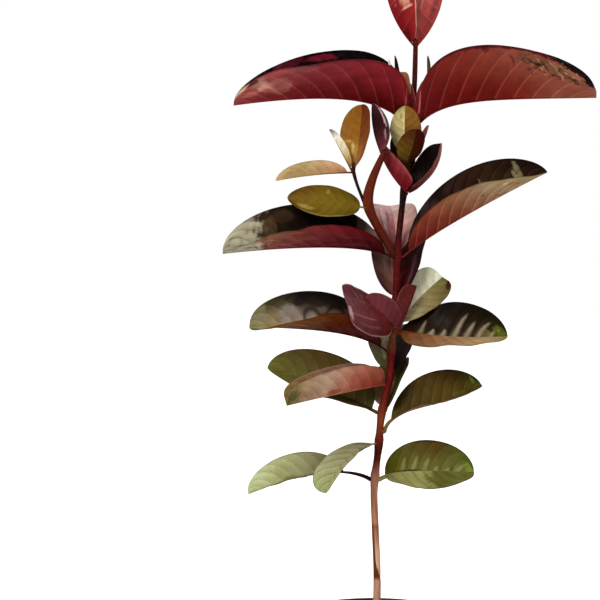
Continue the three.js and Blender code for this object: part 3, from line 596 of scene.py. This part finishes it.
        foot=0.45, point=0.55, slot="leaf_red", vein=0.05, rim="8a7472",
        under="5a2a30 34141a 200a0e 34141a | 6a3038 40181e 2a0e14 4a2228", upper="3a161a 2a1216 2a1216",
        marks={"under left": "bca8a8 .72 .82 .3 .07 .9, a89090 .3 .7 .15 .07 .7"}),
}

stem = dict(
    foot=108, tip=575, flareRadius=5, flareHeight=14, taper=(2.9, 2.6, 1.9),
    nodeSwell=0.8, nodeLength=7, nodes=(508, 459, 406, 369, 331, 311, 282, 257, 229),
    colours="b88a74 108, c4967e 140, c0907a 147, 7a4430 149, 9a644a 152, ac7658 176, a06a4c 188, "
            "8a5238 190, b07c5e 193, ac7658 208, b4826a 222, a8705e 232, 7e4034 238, 5c1c14 243, "
            "48100a 248, 54160d 258, 6c2e1a 266, 703418 275, 661a10 290, 600f0f 300, 62100f 327, "
            "6c381c 334, 6a3a1e 349, 500d0f 356, 560a10 371, 520a10 406, 3c070b 425, 1c0405 447, "
            "120304 462, 36130b 475, 3a0a0b 500, 3c0909 530, 480c0c 575",
    bud=((1.0, 1.05), (2.4, 1.25), (3.8, 1.2), (5.2, 0.95), (6.4, 0.6), (7.2, 0.15)), budTone="5e0e10",
    peel=((149.5, 0.75), (153, 0.5), (158, 0.02), (163, -0.22), (176, -0.3), (190, -0.4), (200, -0.6)),
    peelFull=156, peelEnd=188, grooveFull=180, peelTone="ecc4a4", grooveTone="50240f", peelShare=0.85,
    flute=0.12, scar=0.22, tongue=0.25, groove=-0.15, oldBark=0.22,
    fluteShade=0.14, shade=0.22, shadeFrom=(222, 245), sides=44, step=0.9,
)

# Centre of the stem's rings at each height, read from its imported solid.
packed = np.zeros(len(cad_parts["stem"].data.vertices) * 3, np.float32)
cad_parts["stem"].data.vertices.foreach_get("co", packed)
packed = np.round(packed.reshape(-1, 3) / mm, 2)
heights, rank = np.unique(np.round(packed[:, 2], 1), return_inverse=True)
sameHeight = [packed[rank.ravel() == n, 0] for n in range(len(heights))]
centresX = (np.array([x.min() for x in sameHeight]) + np.array([x.max() for x in sameHeight])) / 2


def stemPoint(z):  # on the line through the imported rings' centres
    z = np.asarray(z, float)
    return np.stack([np.interp(z, heights, centresX), 0 * z, z], -1)


def stemRadius(z):  # taper, plus a root flare, plus a swelling at each node
    z = np.asarray(z, float)
    taper = threeStep(stem["taper"], np.clip((z - stem["foot"]) / (stem["tip"] - stem["foot"]), 0, 1))
    flare = (stem["flareRadius"] - stem["taper"][0]) * np.exp((stem["foot"] - z) / (stem["flareHeight"] / 2))
    bumps = sum(np.exp(-(((z - node) / stem["nodeLength"]) ** 2)) for node in stem["nodes"])
    return taper + flare + stem["nodeSwell"] * bumps


def solidThickness(leaf):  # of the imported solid, in step with its length
    return max(leaf["length"] / 88, 0.9)


# Midrib and frame of a leaf at shares u of its length: it climbs along an arch, and its foot
# rises more steeply by an amount that dies out. On the stem it starts clear of the bark, as its
# solid does.
def midrib(leaf, u):
    heading = np.radians(leaf["heading"])
    fine = 96

    def ahead(pitch):  # a step of length one, climbing at an angle
        return np.stack([np.cos(pitch) * np.cos(heading), np.cos(pitch) * np.sin(heading), np.sin(pitch)], -1)

    def arch(share):  # the climb, even from foot to tip
        return np.radians(blend(*leaf["pitch"], share))

    middles = (np.arange(fine) + 0.5) / fine
    climb = arch(middles) + np.radians(leaf["rise"]) * np.exp(-middles / leaf["riseShare"])
    steps = ahead(climb) * leaf["length"] / fine
    start = np.array(leaf["at"], float)
    if not np.ndim(leaf["at"]):
        girth = max(stemRadius(leaf["at"] + step * stem["nodeLength"]) for step in (-1, 0, 1))
        tuck = 1.1 * np.sin(np.radians(max(leaf["left"][0], leaf["right"][0], 0)))
        reach = girth + 0.3 + abs(np.sin(np.radians(leaf["pitch"][0]))) * (solidThickness(leaf) / 2 + tuck)
        start = stemPoint(leaf["at"]) + reach * np.array([np.cos(heading), np.sin(heading), 0])
    line = start + np.concatenate([np.zeros((1, 3)), np.cumsum(steps, axis=0)])
    across = np.array([np.sin(heading), -np.cos(heading), 0])
    return between(np.linspace(0, 1, fine + 1), line, u), across, np.cross(across, ahead(arch(u)))


def spread(count):  # shares from 0 to 1 that lie closer at both ends
    x = np.linspace(0, 1, count + 1)
    return 0.5 * x + 0.25 * (1 - np.cos(np.pi * x))


def patches(text):  # each row of a table in words: a colour, then its numbers
    for row in filter(None, text.split(", ")):
        hue, *numbers = row.split()
        yield (tone(hue)[0], *map(float, numbers))


# Colour of one side of one half: from foot to tip, eased from the midrib's row to the margin's,
# then painted highlights as pale licks between the veins, ragged patches, wrinkles, and a rim along
# the margin, in the rim colour or else darkened.
def paint(leaf, side, half, share, v, count, seed):
    here = side + " " + half
    rows = leaf[side].split("/")[-1 if half == "right" else 0].split("|")
    tint = blend(shades(rows[0], share), shades(rows[-1], share), smooth(0.1, 0.95, v)[..., None])
    ragged = uneven(seed, 40 * share * leaf["length"] / 100, 16 * v, 8)

    def away(along, outward, reachAlong, reachOut):  # 0 in the middle of a patch, 1 at its edge
        return np.hypot((share - along) / reachAlong, (v - outward) / reachOut)

    # Painted highlights: pale licks between the side veins, out from the midrib, of random length in each
    # space between veins.
    for hue, strength in patches(leaf["highlightStreaks"].get(here, "")):
        lengths = np.random.default_rng(seed + 5).uniform(0.12, 0.75, 40)  # one for each panel
        reach = lengths[np.clip(np.floor(count + 20), 0, 39).astype(int)]
        slim = 0.03 + 0.24 * np.clip(1 - v / reach, 0, 1)
        highlightLick = np.exp(-(((count % 1 - 0.5 - 0.03 * ragged) / slim) ** 2))
        highlightLick = highlightLick * (1 - smooth(0.75 * reach, reach, v))
        tint = blend(tint, hue, (strength * highlightLick * smooth(0.1, 0.25, share))[..., None])
    # Ragged patches of colour; the ones that are painted highlights or painted shading are noted at their
    # leaves.
    for hue, *place, strength in patches(leaf["marks"].get(here, "")):
        tint = blend(tint, hue, (strength * (1 - smooth(0.7, 1.0, away(*place) + 0.2 * ragged)))[..., None])
    for hue, *place, strength, pace in patches(leaf["wrinkles"].get(here, "")):
        folds = uneven(seed + 9, pace * share * leaf["length"] / 20, pace * v * leaf["width"] / 40, 8)
        lines = np.exp(-((folds / 0.13) ** 2)) * (1 - smooth(0.8, 1.0, away(*place) + 0.35 * ragged))
        tint = blend(tint, hue, (strength * lines)[..., None])
    # The margin takes the rim colour, else the tint darkened; the pale rims noted at their leaves are painted
    # highlights.
    rim = tone(leaf["rim"])[0] if leaf["rim"] else 0.4 * tint
    return blend(tint, rim, (0.7 * smooth(0.94, 0.985, v))[..., None])


# The blade: each half leans out from the midrib and curls, quilted between its side veins,
# crumpled, and waved along its margin, with an upper and a lower skin that close at the margin.
def bladeShell(leaf, seed):
    u = spread(int(leafLook["rows"][0] + leaf["length"] * leafLook["rows"][1]))[:, None]
    v = spread(int(leafLook["columns"][0] + leaf["width"] * leafLook["columns"][1]))[None, :]
    centre, across, up = midrib(leaf, u[:, 0])
    ub = np.clip((u - leaf["stalk"]) / (1 - leaf["stalk"]), 0, 1)
    foot, point, length = leaf["foot"], leaf["point"], leaf["length"]
    peak = (foot / (foot + point)) ** foot * (point / (foot + point)) ** point
    wide = leaf["width"] / 2 * ub ** foot * (1 - ub) ** point / peak  # half the width
    wide = np.maximum(wide, leafLook["leastHalf"] * (1 - 0.7 * u))
    folds = [threeStep(leaf["left"], u), threeStep(leaf["right"], u)]
    narrow = 0.45 * np.maximum(wide, 1.1 * (1 - 0.5 * u))
    shut = 180 - 2 * np.degrees(np.arctan(solidThickness(leaf) / 2 / narrow))
    ease = np.minimum(1, shut / np.maximum(folds[0] + folds[1], 1))  # no leaf folds past shut
    curl = np.radians(leaf["curl"])
    ends = (4 * ub * (1 - ub)) ** 0.5
    slant = blend(*leafLook["slant"], ub)
    skins = []
    for side, fold, half in ((-1, folds[0], "left"), (1, folds[1], "right")):
        hinge = np.radians(fold * ease) - curl / 2
        lean = hinge + curl * v
        out = wide * (np.sin(lean) - np.sin(hinge)) / curl
        lift = wide * (np.cos(hinge) - np.cos(lean)) / curl
        normal = (-side * np.sin(lean))[..., None] * across + np.cos(lean)[..., None] * up[:, None]
        middle = centre[:, None] + (side * out)[..., None] * across + lift[..., None] * up[:, None]
        count = leaf["veins"] * (ub - slant * v * (0.7 + 0.3 * v * v)) + (0.4 if side > 0 else 0)
        part = count % 1
        pillow = part ** 0.8 * (1 - part) ** 0.4 / 0.465 - 0.6  # highest near the next vein
        quilt = leafLook["quilt"] * length * pillow * (4 * v * (1 - v)) ** 0.6 * ends
        ripple = uneven(seed + side + 1, 9 * ub, 1.5 * v, 4)
        wave = leaf["wave"] * leafLook["wave"] * length * ripple * v ** 1.6 * ends
        dents = 1 - 2 * np.abs(uneven(seed + side + 4, 11 * ub * length / 100, 4 * v * leaf["width"] / 60, 5))
        crumple = leaf["crumple"] * leafLook["crumple"] * length * dents * ends * smooth(0, 0.3, v)
        relief = quilt + wave + crumple
        skin = 0.5 * blend(*leafLook["thickness"], v ** 4) * np.minimum(1, wide / 2 + 0.3)
        room = np.minimum(skin, 0.9 * out / np.maximum(np.abs(np.sin(lean)), 0.05))
        one = np.ones_like(lean)
        skins.append([])
        for face, level, rise in (("upper", 1, np.where(lean > 0, room, skin)),
                                  ("under", -1, -np.where(lean < 0, room, skin))):
            vein = leaf["vein"] * (leafFinishes[leaf["slot"]]["veinAbove"] if level > 0 else 1)
            finish = np.array([vein, leafLook["gloss"][face], leafLook["coat"][face]])
            skins[-1].append([
                middle + normal * (relief + rise)[..., None], np.stack([count, v * one, level * one], -1),
                np.clip(paint(leaf, face, half, ub * one, v * one, count, seed), 0, 1),
                finish * one[..., None],
            ])
    whole = []
    for n in range(4):
        upper, lower = (np.concatenate([skins[0][face][n][:, ::-1], skins[1][face][n][:, 1:]], axis=1)
                        for face in (0, 1))
        whole.append(np.concatenate([upper, lower[:, ::-1]], axis=1))
    return ringShell(whole[0], blade=whole[1], tint=whole[2], finish=whole[3])


# Stalk and midrib: one tapering tube out of the stem and along the lower side of the blade.
def ribShell(leaf):
    u = np.linspace(0, 1, int(30 + leaf["length"] * 0.4))
    centre, across, up = midrib(leaf, u)
    radius = blend(*leafLook["rib"], u ** 0.7) * (0.45 + 0.55 * leaf["length"] / 150)
    radius = radius * (1 + (leaf["girth"] - 1) * (1 - smooth(0.05, 0.35, u)))
    sunk = centre - up * (radius * 0.75)[:, None]
    if leaf["root"]:
        root = np.array(leaf["root"])
    elif np.ndim(leaf["at"]):
        root = centre[0] - unit(centre[2:3] - centre[:1])[0] * 2.5
    else:
        root = stemPoint(leaf["at"] - 1)
    lead, sides = leafLook["stalkRings"], leafLook["ribSides"]
    path = np.concatenate([root + (sunk[0] - root) * np.linspace(0, 0.9, lead)[:, None], sunk])
    radius = np.concatenate([np.linspace(leafLook["stalkSwell"], 1.05, lead) * radius[0], radius])
    tint = shades(leaf["rib"], np.concatenate([np.zeros(lead), u]))[:, None] * np.ones((1, sides, 1))
    return ringShell(tubeRings(path, radius, sides, across), blade=np.array([0.5, 0, -1]), tint=tint,
                     finish=np.array([0, leafLook["ribGloss"], 0]))


# Pleats and dried scales, two of each at the feet of the first pair, and two pleats at the fourth
# node: short blades by the same rule, folded nearly shut, that stand up against the stem.
scales = {
    "pleat_left": dict(
        at=(25.6, -2.6, 508), heading=184, length=38, width=22, pitch=(74, 84), left=(84, 84, 80),
        right=(80, 84, 84), foot=0.3, point=0.2, slot="leaf_red", vein=0.3, veins=9, crumple=3, wave=3,
        rim="b06a66", under="3c080c 561016 60161c 6a1e24 | 460c10 601a20 6e2026 7c2c2e",
        upper="3a080c 5a1418 6a2420"),
    "scale_copper": dict(
        at=(24.8, -1.4, 510), heading=186, length=44, width=19, pitch=(70, 92), left=(76, 74, 60),
        right=(80, 84, 80), foot=0.4, point=0.16, slot="leaf_red", vein=0.1, crumple=5, wave=3,
        rim="d8a888", under="4d1614 5f221b 77402d 8a5439 | 5b1c16 6c2d20 844a32 9e6444",
        upper="5a1a16 8a4a30 a86848"),
    "scale_tan": dict(
        at=(23.4, -1.4, 510), heading=186, length=56, width=6, pitch=(56, 96), fold=70, slot="leaf_red",
        vein=0.05, crumple=2, under="5a1a16 8a4a38 c8a484 f0e0c4"),
    "pleat_fourth": dict(
        at=(17.0, -4.8, 346.5), heading=-6, length=39, width=23, pitch=(62, 72), left=(80, 84, 84),
        right=(84, 84, 80), foot=0.6, point=0.3, slot="leaf_bronze", vein=0.06, crumple=4, wave=3,
        rim="8a4a50", under="50181c 561e22 54201f 4a1a1c", upper="4a181a 5a2028 5a2830"),
    "pleat_mauve": dict(
        at=(17.6, -5.6, 349), heading=188, length=37, width=29, pitch=(36, 44), left=(84, 84, 80),
        right=(80, 84, 84), foot=0.4, point=0.45, slot="leaf_bronze", vein=0.06, crumple=3, wave=3,
        rim="8a5058", under="521e24 5e2a32 682e38 70343e", upper="5a2026 682a32 74343e"),
    "pleat_right": dict(
        at=(31.2, -2.6, 508), heading=-4, length=42, width=20, pitch=(60, 84), left=(80, 84, 84),
        right=(84, 84, 80), foot=0.3, point=0.3, slot="leaf_red", vein=0.3, veins=9, crumple=3, wave=3,
        rim="5a1416", under="3c080c 5a1014 741e20 7a2824 | 4a0c10 6a181c 8a3434 8a3c34",
        upper="3a080c 5a1418 6a2420"),
}

leafDefaults = dict(
    rise=0, riseShare=0.14, fold=0, curl=12, foot=0.5, point=0.5, stalk=0.05, girth=1, root=(),
    slot="leaf_green", vein=0.15, crumple=1, wave=1, rim="", rib="", highlightStreaks={}, marks={}, wrinkles={},
)
for n, (name, given) in enumerate({**leaves, **scales}.items()):
    leaf = {**leafDefaults, **given}
    leaf.setdefault("veins", round(5 + leaf["length"] / 24))
    leaf["rib"] = leaf["rib"] or leaf["under"].split("/")[0].split("|")[0]
    leaf.setdefault("upper", leaf["under"])
    for half in ("left", "right"):
        leaf[half] = np.broadcast_to(leaf.get(half, leaf["fold"]), 3)
    makePiece(name, [bladeShell(leaf, 10 * n), ribShell(leaf)], leafMaterials[leaf["slot"]],
              [name] if name in leaves else ())
print("leaves made:", len(leaves), "and scales:", len(scales))


# The point tint with strands of darker skin and small pale pores, satin, ridged by the strands.
def barkMaterial(name, roughness):
    material, tree, sockets, place = startMaterial(name, **{"Specular IOR Level": 0.06})
    strand = placeGroup(tree, strands, Vector=place, Scale=520.0, Stretch=0.12)["Value"]
    pore = placeGroup(tree, mottle, Vector=place, Scale=700.0, Low=0.66, High=0.72, Detail=1.0)["Value"]
    ridged = mix(tree, times(tree, strand, 0.45), carriedTint(tree), (0.5, 0.4, 0.36, 1), "MULTIPLY")
    dress(tree, sockets, addTimes(tree, pore, 0.5, strand), 0.45, 0.3, **{
        "Base Color": mix(tree, times(tree, pore, 0.16), ridged, "a07a5c"),
        "Roughness": addTimes(tree, strand, 0.16, roughness),
    })
    return material


# Stem: rings up the centre line, fluted lightly, with a scar ridge at each node. Near the foot
# the old bark ends in a step, over it a pale tongue peels off beside a dark groove, whose edge
# lies at a given share of the radius for each height. The last rings close in a small bud.
def stemShell():
    z = np.arange(stem["foot"] - 1.5, stem["tip"] + 0.01, stem["step"])
    domeUp, domeWide = np.array(stem["bud"]).T
    z = np.concatenate([z, stem["tip"] + domeUp])
    angle = turns(stem["sides"])
    path = stemPoint(z)
    path[:, 0] = np.convolve(np.pad(path[:, 0], 6, mode="edge"), np.ones(13) / 13, mode="valid")
    flutes = uneven(3, 3 * np.cos(angle)[None], 3 * np.sin(angle)[None] + z[:, None] / 60, 5)
    scars = sum(np.exp(-(((z - node - 2.5) / 1.1) ** 2)) for node in stem["nodes"])[:, None]
    side = np.cos(angle)[None] + 0.12 * flutes
    front = smooth(-0.25, 0.15, -np.sin(angle))[None]
    peelUp, peelEdge = np.array(stem["peel"]).T
    edge = np.interp(z, peelUp, peelEdge)[:, None]
    above = smooth(peelUp[0] - 1, peelUp[0] + 1, z)
    tongue = (above * (1 - smooth(stem["peelFull"], stem["peelEnd"], z)))[:, None] * front
    tongue = tongue * smooth(edge - 0.08, edge + 0.1, side)
    groove = (above * (1 - smooth(stem["grooveFull"], peelUp[-1], z)))[:, None] * front
    groove = groove * (1 - smooth(edge - 0.12, edge + 0.04, side))
    oldBark = (1 - smooth(peelUp[0] - 3, peelUp[0] - 1.5, z))[:, None] * (1 + 0.6 * np.cos(angle)[None])
    radius = stemRadius(np.clip(z, stem["foot"], stem["tip"]))[:, None] * np.ones((1, stem["sides"]))
    for name, height in dict(flute=flutes, scar=scars, tongue=tongue, groove=groove, oldBark=oldBark).items():
        radius = radius + stem[name] * height
    radius[-len(domeUp):] *= domeWide[:, None]
    colours, places = zip(*patches(stem["colours"]))
    tint = between(places, np.array(colours), z)[:, None] * np.ones((1, stem["sides"], 1))
    tint = blend(tint, tone(stem["peelTone"])[0], stem["peelShare"] * tongue[..., None])
    tint = blend(tint, tone(stem["grooveTone"])[0], stem["peelShare"] * groove[..., None])
    tint = tint * (1 + stem["fluteShade"] * flutes[..., None])
    tint[-len(domeUp):] = tone(stem["budTone"])[0]
    shade = stem["shade"] * np.cos(angle)[None] * smooth(*stem["shadeFrom"], z)[:, None]
    tint = tint * (1 + shade)[..., None]
    return ringShell(tubeRings(path, radius, stem["sides"]), tint=np.clip(tint, 0, 1))


makePiece("stem_skin", [stemShell()], barkMaterial("stem bark", 0.42), ["stem"])

boughs = {
    "shoot_skin": dict(
        knots=((15, -1.0, 405), (11.8, -3, 411), (-1.8, -8, 434), (-7, -10, 449), (-3.6, -13, 466),
               (4.4, -16, 485), (5.6, -16.4, 487.5)),
        radii=(2.1, 2.6, 3.4, 4.2, 3.3, 2.3, 1.0), colours="3c0c08 52180a 64230e 5a1c0c 441410",
        seed=21, stands=("shoot_lower", "shoot_arm")),
    "twig_skin": dict(
        knots=((-8, -10.2, 444), (-9.9, -10.5, 448.4), (-15, -11, 461), (-18.4, -12, 472.5),
               (-18.5, -12.4, 476.5), (-18.1, -12.6, 480.5)),
        radii=(1.9, 1.5, 1.2, 1.5, 1.6, 0.5), colours="6a2a18 24100c 1c0c0a 2a120c 5a3018",
        seed=22, stands=("shoot_twig",)),
}


# A bough: rings along a smooth path, its radius eased between the knots' radii.
def boughShell(bough, rings=150, sides=28):
    radius = smoothPath(np.array(bough["radii"])[:, None], rings)
    angle = turns(sides)[None]
    along = np.linspace(0, 1, rings)[:, None]
    radius = radius * (1 + 0.05 * uneven(bough["seed"], 3 * np.cos(angle) + 8 * along, 3 * np.sin(angle), 5))
    tint = shades(bough["colours"], along) * np.ones((1, sides, 1))
    return ringShell(tubeRings(smoothPath(bough["knots"], rings), radius, sides, (0, -1, 0)), tint=tint)


barkShoot = barkMaterial("shoot bark", 0.4)
for name, bough in boughs.items():
    makePiece(name, [boughShell(bough)], barkShoot, bough["stands"])
print("stem and side shoot made")


pot = dict(
    height=120, rimRadius=65, bodyRadius=61.5, footRadius=47, rimDepth=11, wall=1.6, floor=2.4,
    drains=6, drainRadius=5, drainRing=34, segments=192, plastic="0f0f0f", scuffs="262524", dust="6a5e50",
)


def potOutside(z):  # radius of the wall, straight from foot to rim
    return pot["footRadius"] + (pot["bodyRadius"] - pot["footRadius"]) * z / (pot["height"] - pot["rimDepth"])


# Radius and height from the middle of the base, over its foot ring, up the wall, round the rolled
# rim and down inside to the middle of the floor.
def potProfile():
    under = pot["height"] - pot["rimDepth"]
    rim, top = pot["rimRadius"], pot["height"]
    base = [(0.5, 1.2), (30, 1.2), (41, 1.2), (41.8, 1.1), (42.6, 0.2), (43.2, 0), (45.4, 0), (46.4, 0.4),
            (47.1, 1.4)]
    wall = [(potOutside(z), z) for z in np.linspace(3, under - 6, 14)]
    neck = [(potOutside(under - 5), under - 5), (potOutside(under - 4.6) + 0.5, under - 4.4),
            (potOutside(under) + 0.5, under - 0.6)]
    lip = [(rim - 1.6, under - 0.4), (rim - 1.1, under), (rim - 0.9, under + 0.6), (rim - 0.7, top - 4),
           (rim - 0.4, top - 3.2), (rim, top - 2.6), (rim, top - 0.9), (rim - 0.3, top - 0.3),
           (rim - 0.9, top), (rim - 1.9, top), (rim - 2.5, top - 0.3), (rim - 2.8, top - 1)]
    inner = [(potOutside(z) - pot["wall"], z) for z in np.linspace(under, pot["floor"] + 1, 14)]
    bottom = [(pot["footRadius"] - 3.2, pot["floor"] + 0.1), (40, pot["floor"]), (0.5, pot["floor"])]
    return base + wall + neck + lip + inner + bottom


# Black moulded plastic: satin, faint drawn lines, scuffs that pale it, dust on the rim.
def plasticMaterial():
    material, tree, sockets, place = startMaterial("pot plastic", **{"Specular IOR Level": 0.3})
    lines = placeGroup(tree, strands, Vector=place, Scale=260.0, Stretch=0.05)["Value"]
    scuff = placeGroup(tree, mottle, Vector=place, Scale=90.0, Low=0.58, High=0.72, Detail=8.0)["Value"]
    dusty = placeGroup(tree, dust, Vector=place, Amount=0.14)["Mask"]
    base = mix(tree, times(tree, scuff, 0.35), pot["plastic"], pot["scuffs"])
    dress(tree, sockets, addTimes(tree, lines, 0.4, scuff), 0.25, 0.2, **{
        "Base Color": mix(tree, dusty, base, pot["dust"]),
        "Roughness": addTimes(tree, scuff, 0.18, addTimes(tree, lines, 0.08, 0.4)),
    })
    return material


plastic = plasticMaterial()
shell = ringShell(turnedRings(potProfile(), pot["segments"]))
potPiece = makePiece("pot_shell", [shell], plastic, ["pot"])

# Drain holes: round bores cut through the floor. The flat faces then get flat shading.
bores = []
for n in range(pot["drains"]):
    angle = 2 * np.pi * (n + 0.5) / pot["drains"]
    rings = turnedRings([(pot["drainRadius"], -3), (pot["drainRadius"], 6)], 40)
    bores.append(ringShell(rings + pot["drainRing"] * np.array([np.cos(angle), np.sin(angle), 0])))
cutter = makePiece("bores", bores, plastic)
cut = potPiece.modifiers.new("drains", "BOOLEAN")
cut.operation, cut.solver, cut.object = "DIFFERENCE", "EXACT", cutter
drilled = bpy.data.meshes.new_from_object(potPiece.evaluated_get(bpy.context.evaluated_depsgraph_get()))
potPiece.modifiers.clear()
potPiece.data = drilled
facing = np.zeros(len(drilled.polygons) * 3, np.float32)
drilled.polygons.foreach_get("normal", facing)
drilled.polygons.foreach_set("use_smooth", np.abs(facing.reshape(-1, 3)[:, 2]) < 0.99)
bpy.data.objects.remove(cutter)

soil = dict(
    top=108, radius=58.5, bumps=1.4, rings=60, segments=180, chips=420, chipLength=(3.0, 9.0),
    mix=("1a110b", "3c281a"), bark=("2a180e", "5c3c26"),
)


# Crumbly bark mix: brown crumbs of several sizes, a painted shade darker in the hollows, rough all over.
def soilMaterial(name, dark, pale):
    material, tree, sockets, place = startMaterial(name)
    crumbs = placeGroup(tree, mottle, Vector=place, Scale=240.0, Low=0.4, High=0.62, Detail=6.0)["Value"]
    grains = placeGroup(tree, mottle, Vector=place, Scale=900.0, Low=0.4, High=0.65)["Value"]
    fibre = placeGroup(tree, strands, Vector=place, Scale=380.0, Stretch=0.3)["Value"]
    # painted shade: the crumbs run from the dark colour in the bump's low places to the pale one on top
    base = mix(tree, crumbs, dark, pale)
    dress(tree, sockets, addTimes(tree, grains, 0.5, crumbs), 0.8, 1.0, **{
        "Base Color": mix(tree, times(tree, fibre, 0.4), base, (0.5, 0.45, 0.4, 1), "MULTIPLY"),
        "Roughness": addTimes(tree, grains, 0.12, 0.82),
    })
    return material


# The soil's top is a disc of rings with rolling bumps, over a plain block that fills the pot.
def soilShell():
    low, edge = pot["floor"] + 0.3, soil["top"] - 2
    sink = [(0.5, low), (potOutside(low) - pot["wall"] - 1.5, low),
            (potOutside(edge) - pot["wall"] - 0.4, edge)]
    disc = [(radius, soil["top"]) for radius in np.linspace(soil["radius"], 0.5, soil["rings"])]
    rings = turnedRings(sink + disc, soil["segments"])
    x, y = rings[3:, :, 0], rings[3:, :, 1]
    roll = uneven(31, x / 9, y / 9, 7) + 0.5 * uneven(32, x / 3, y / 3, 6)
    rings[3:, :, 2] += soil["bumps"] * roll * smooth(2, 9, np.hypot(x, y)) - 0.4
    return ringShell(rings)


makePiece("soil_bed", [soilShell()], soilMaterial("potting mix", *soil["mix"]), ["soil"])


def turned(angle, first, second):  # the matrix of a turn from one axis towards another
    turn = np.eye(3)
    turn[[first, second], [first, second]] = np.cos(angle)
    turn[second, first] = np.sin(angle)
    turn[first, second] = -np.sin(angle)
    return turn


# Bark chips: small lumps squeezed and turned at random, lying on the bed.
rng = np.random.default_rng(77)
lump = spread(4)[:, None]
around = turns(7)[None]
chips = []
for n in range(soil["chips"]):
    size = rng.uniform(*soil["chipLength"]) * np.array([0.5, rng.uniform(0.2, 0.36), rng.uniform(0.08, 0.2)])
    swell = np.sin(np.pi * (0.04 + 0.92 * lump)) ** 0.5
    lying = [(2 * lump - 1) * np.ones_like(around), swell * np.cos(around), swell * np.sin(around)]
    body = np.stack(lying, -1)
    body = body * (1 + 0.22 * rng.uniform(-1, 1, body.shape)) * size
    turn, tip = rng.uniform(0, 2 * np.pi), rng.uniform(-0.5, 0.5)
    away = np.sqrt(rng.uniform(0.03, 0.92)) * (soil["radius"] - 3)
    spot = np.array([away * np.cos(turn * 7), away * np.sin(turn * 7), soil["top"] + rng.uniform(0, 1.6)])
    chips.append(ringShell(body @ turned(tip, 2, 0).T @ turned(turn, 0, 1).T + spot))
makePiece("bark_chips", chips, soilMaterial("bark chips", *soil["bark"]))
print("pot and soil made")


floorMesh = bpy.data.meshes.new("floor")
floorMesh.from_pydata([(-40, -40, 0), (40, -40, 0), (40, 40, 0), (-40, 40, 0)], [], [(0, 1, 2, 3)])
floor = bpy.data.objects.new("floor", floorMesh)
bpy.context.scene.collection.objects.link(floor)
floorMaterial, tree, sockets, place = startMaterial(
    "pale floor", **{"Roughness": 0.9, "Base Color": (0.86, 0.86, 0.86, 1), "Emission Strength": 0.85})
feed(tree, sockets["Emission Color"], addNode(tree, "ShaderNodeLightPath").outputs["Is Camera Ray"])
floorMesh.materials.append(floorMaterial)

studio = dict(warm=(1, 0.96, 0.9), sky=0.45, aim=(0, 0, 0.36), camera=(-0.0608, -1.2, 0.371), lens=90)
lights = {
    "key": dict(place=(-1.0, -1.5, 1.5), size=0.9, watts=33),
    "fill": dict(place=(1.5, -1.3, 0.7), size=1.4, watts=7),
    "back": dict(place=(0.4, 1.5, 1.6), size=1.2, watts=12),
}
for name, light in lights.items():
    lamp = bpy.data.lights.new(name, "AREA")
    lamp.size, lamp.energy, lamp.color = light["size"], light["watts"], studio["warm"]
    holder = bpy.data.objects.new(name, lamp)
    bpy.context.scene.collection.objects.link(holder)
    holder.location = light["place"]
    aim = Vector(studio["aim"]) - holder.location
    holder.rotation_euler = aim.to_track_quat("-Z", "Y").to_euler()

# The sky lights softly, and behind the tree it shows plain white.
world = bpy.data.worlds.new("studio")
world.use_nodes = True
bpy.context.scene.world = world
sky = world.node_tree
seen = addNode(sky, "ShaderNodeBackground", {"Color": (1, 1, 1, 1), "Strength": 1.0})
lit = sky.nodes["Background"]
feed(sky, lit.inputs["Color"], (*studio["warm"], 1))
feed(sky, lit.inputs["Strength"], studio["sky"])
direct = addNode(sky, "ShaderNodeLightPath").outputs["Is Camera Ray"]
choose = addNode(sky, "ShaderNodeMixShader", {0: direct, 1: lit.outputs[0], 2: seen.outputs[0]})
feed(sky, sky.nodes["World Output"].inputs["Surface"], choose.outputs[0])

lens = bpy.data.cameras.new("camera")
lens.lens = studio["lens"]
camera = bpy.data.objects.new("camera", lens)
bpy.context.scene.collection.objects.link(camera)
camera.location = studio["camera"]
camera.rotation_euler = (np.pi / 2, 0, 0)
bpy.context.scene.camera = camera
bpy.context.scene.view_settings.view_transform = "Standard"
print("floor, light and camera set")
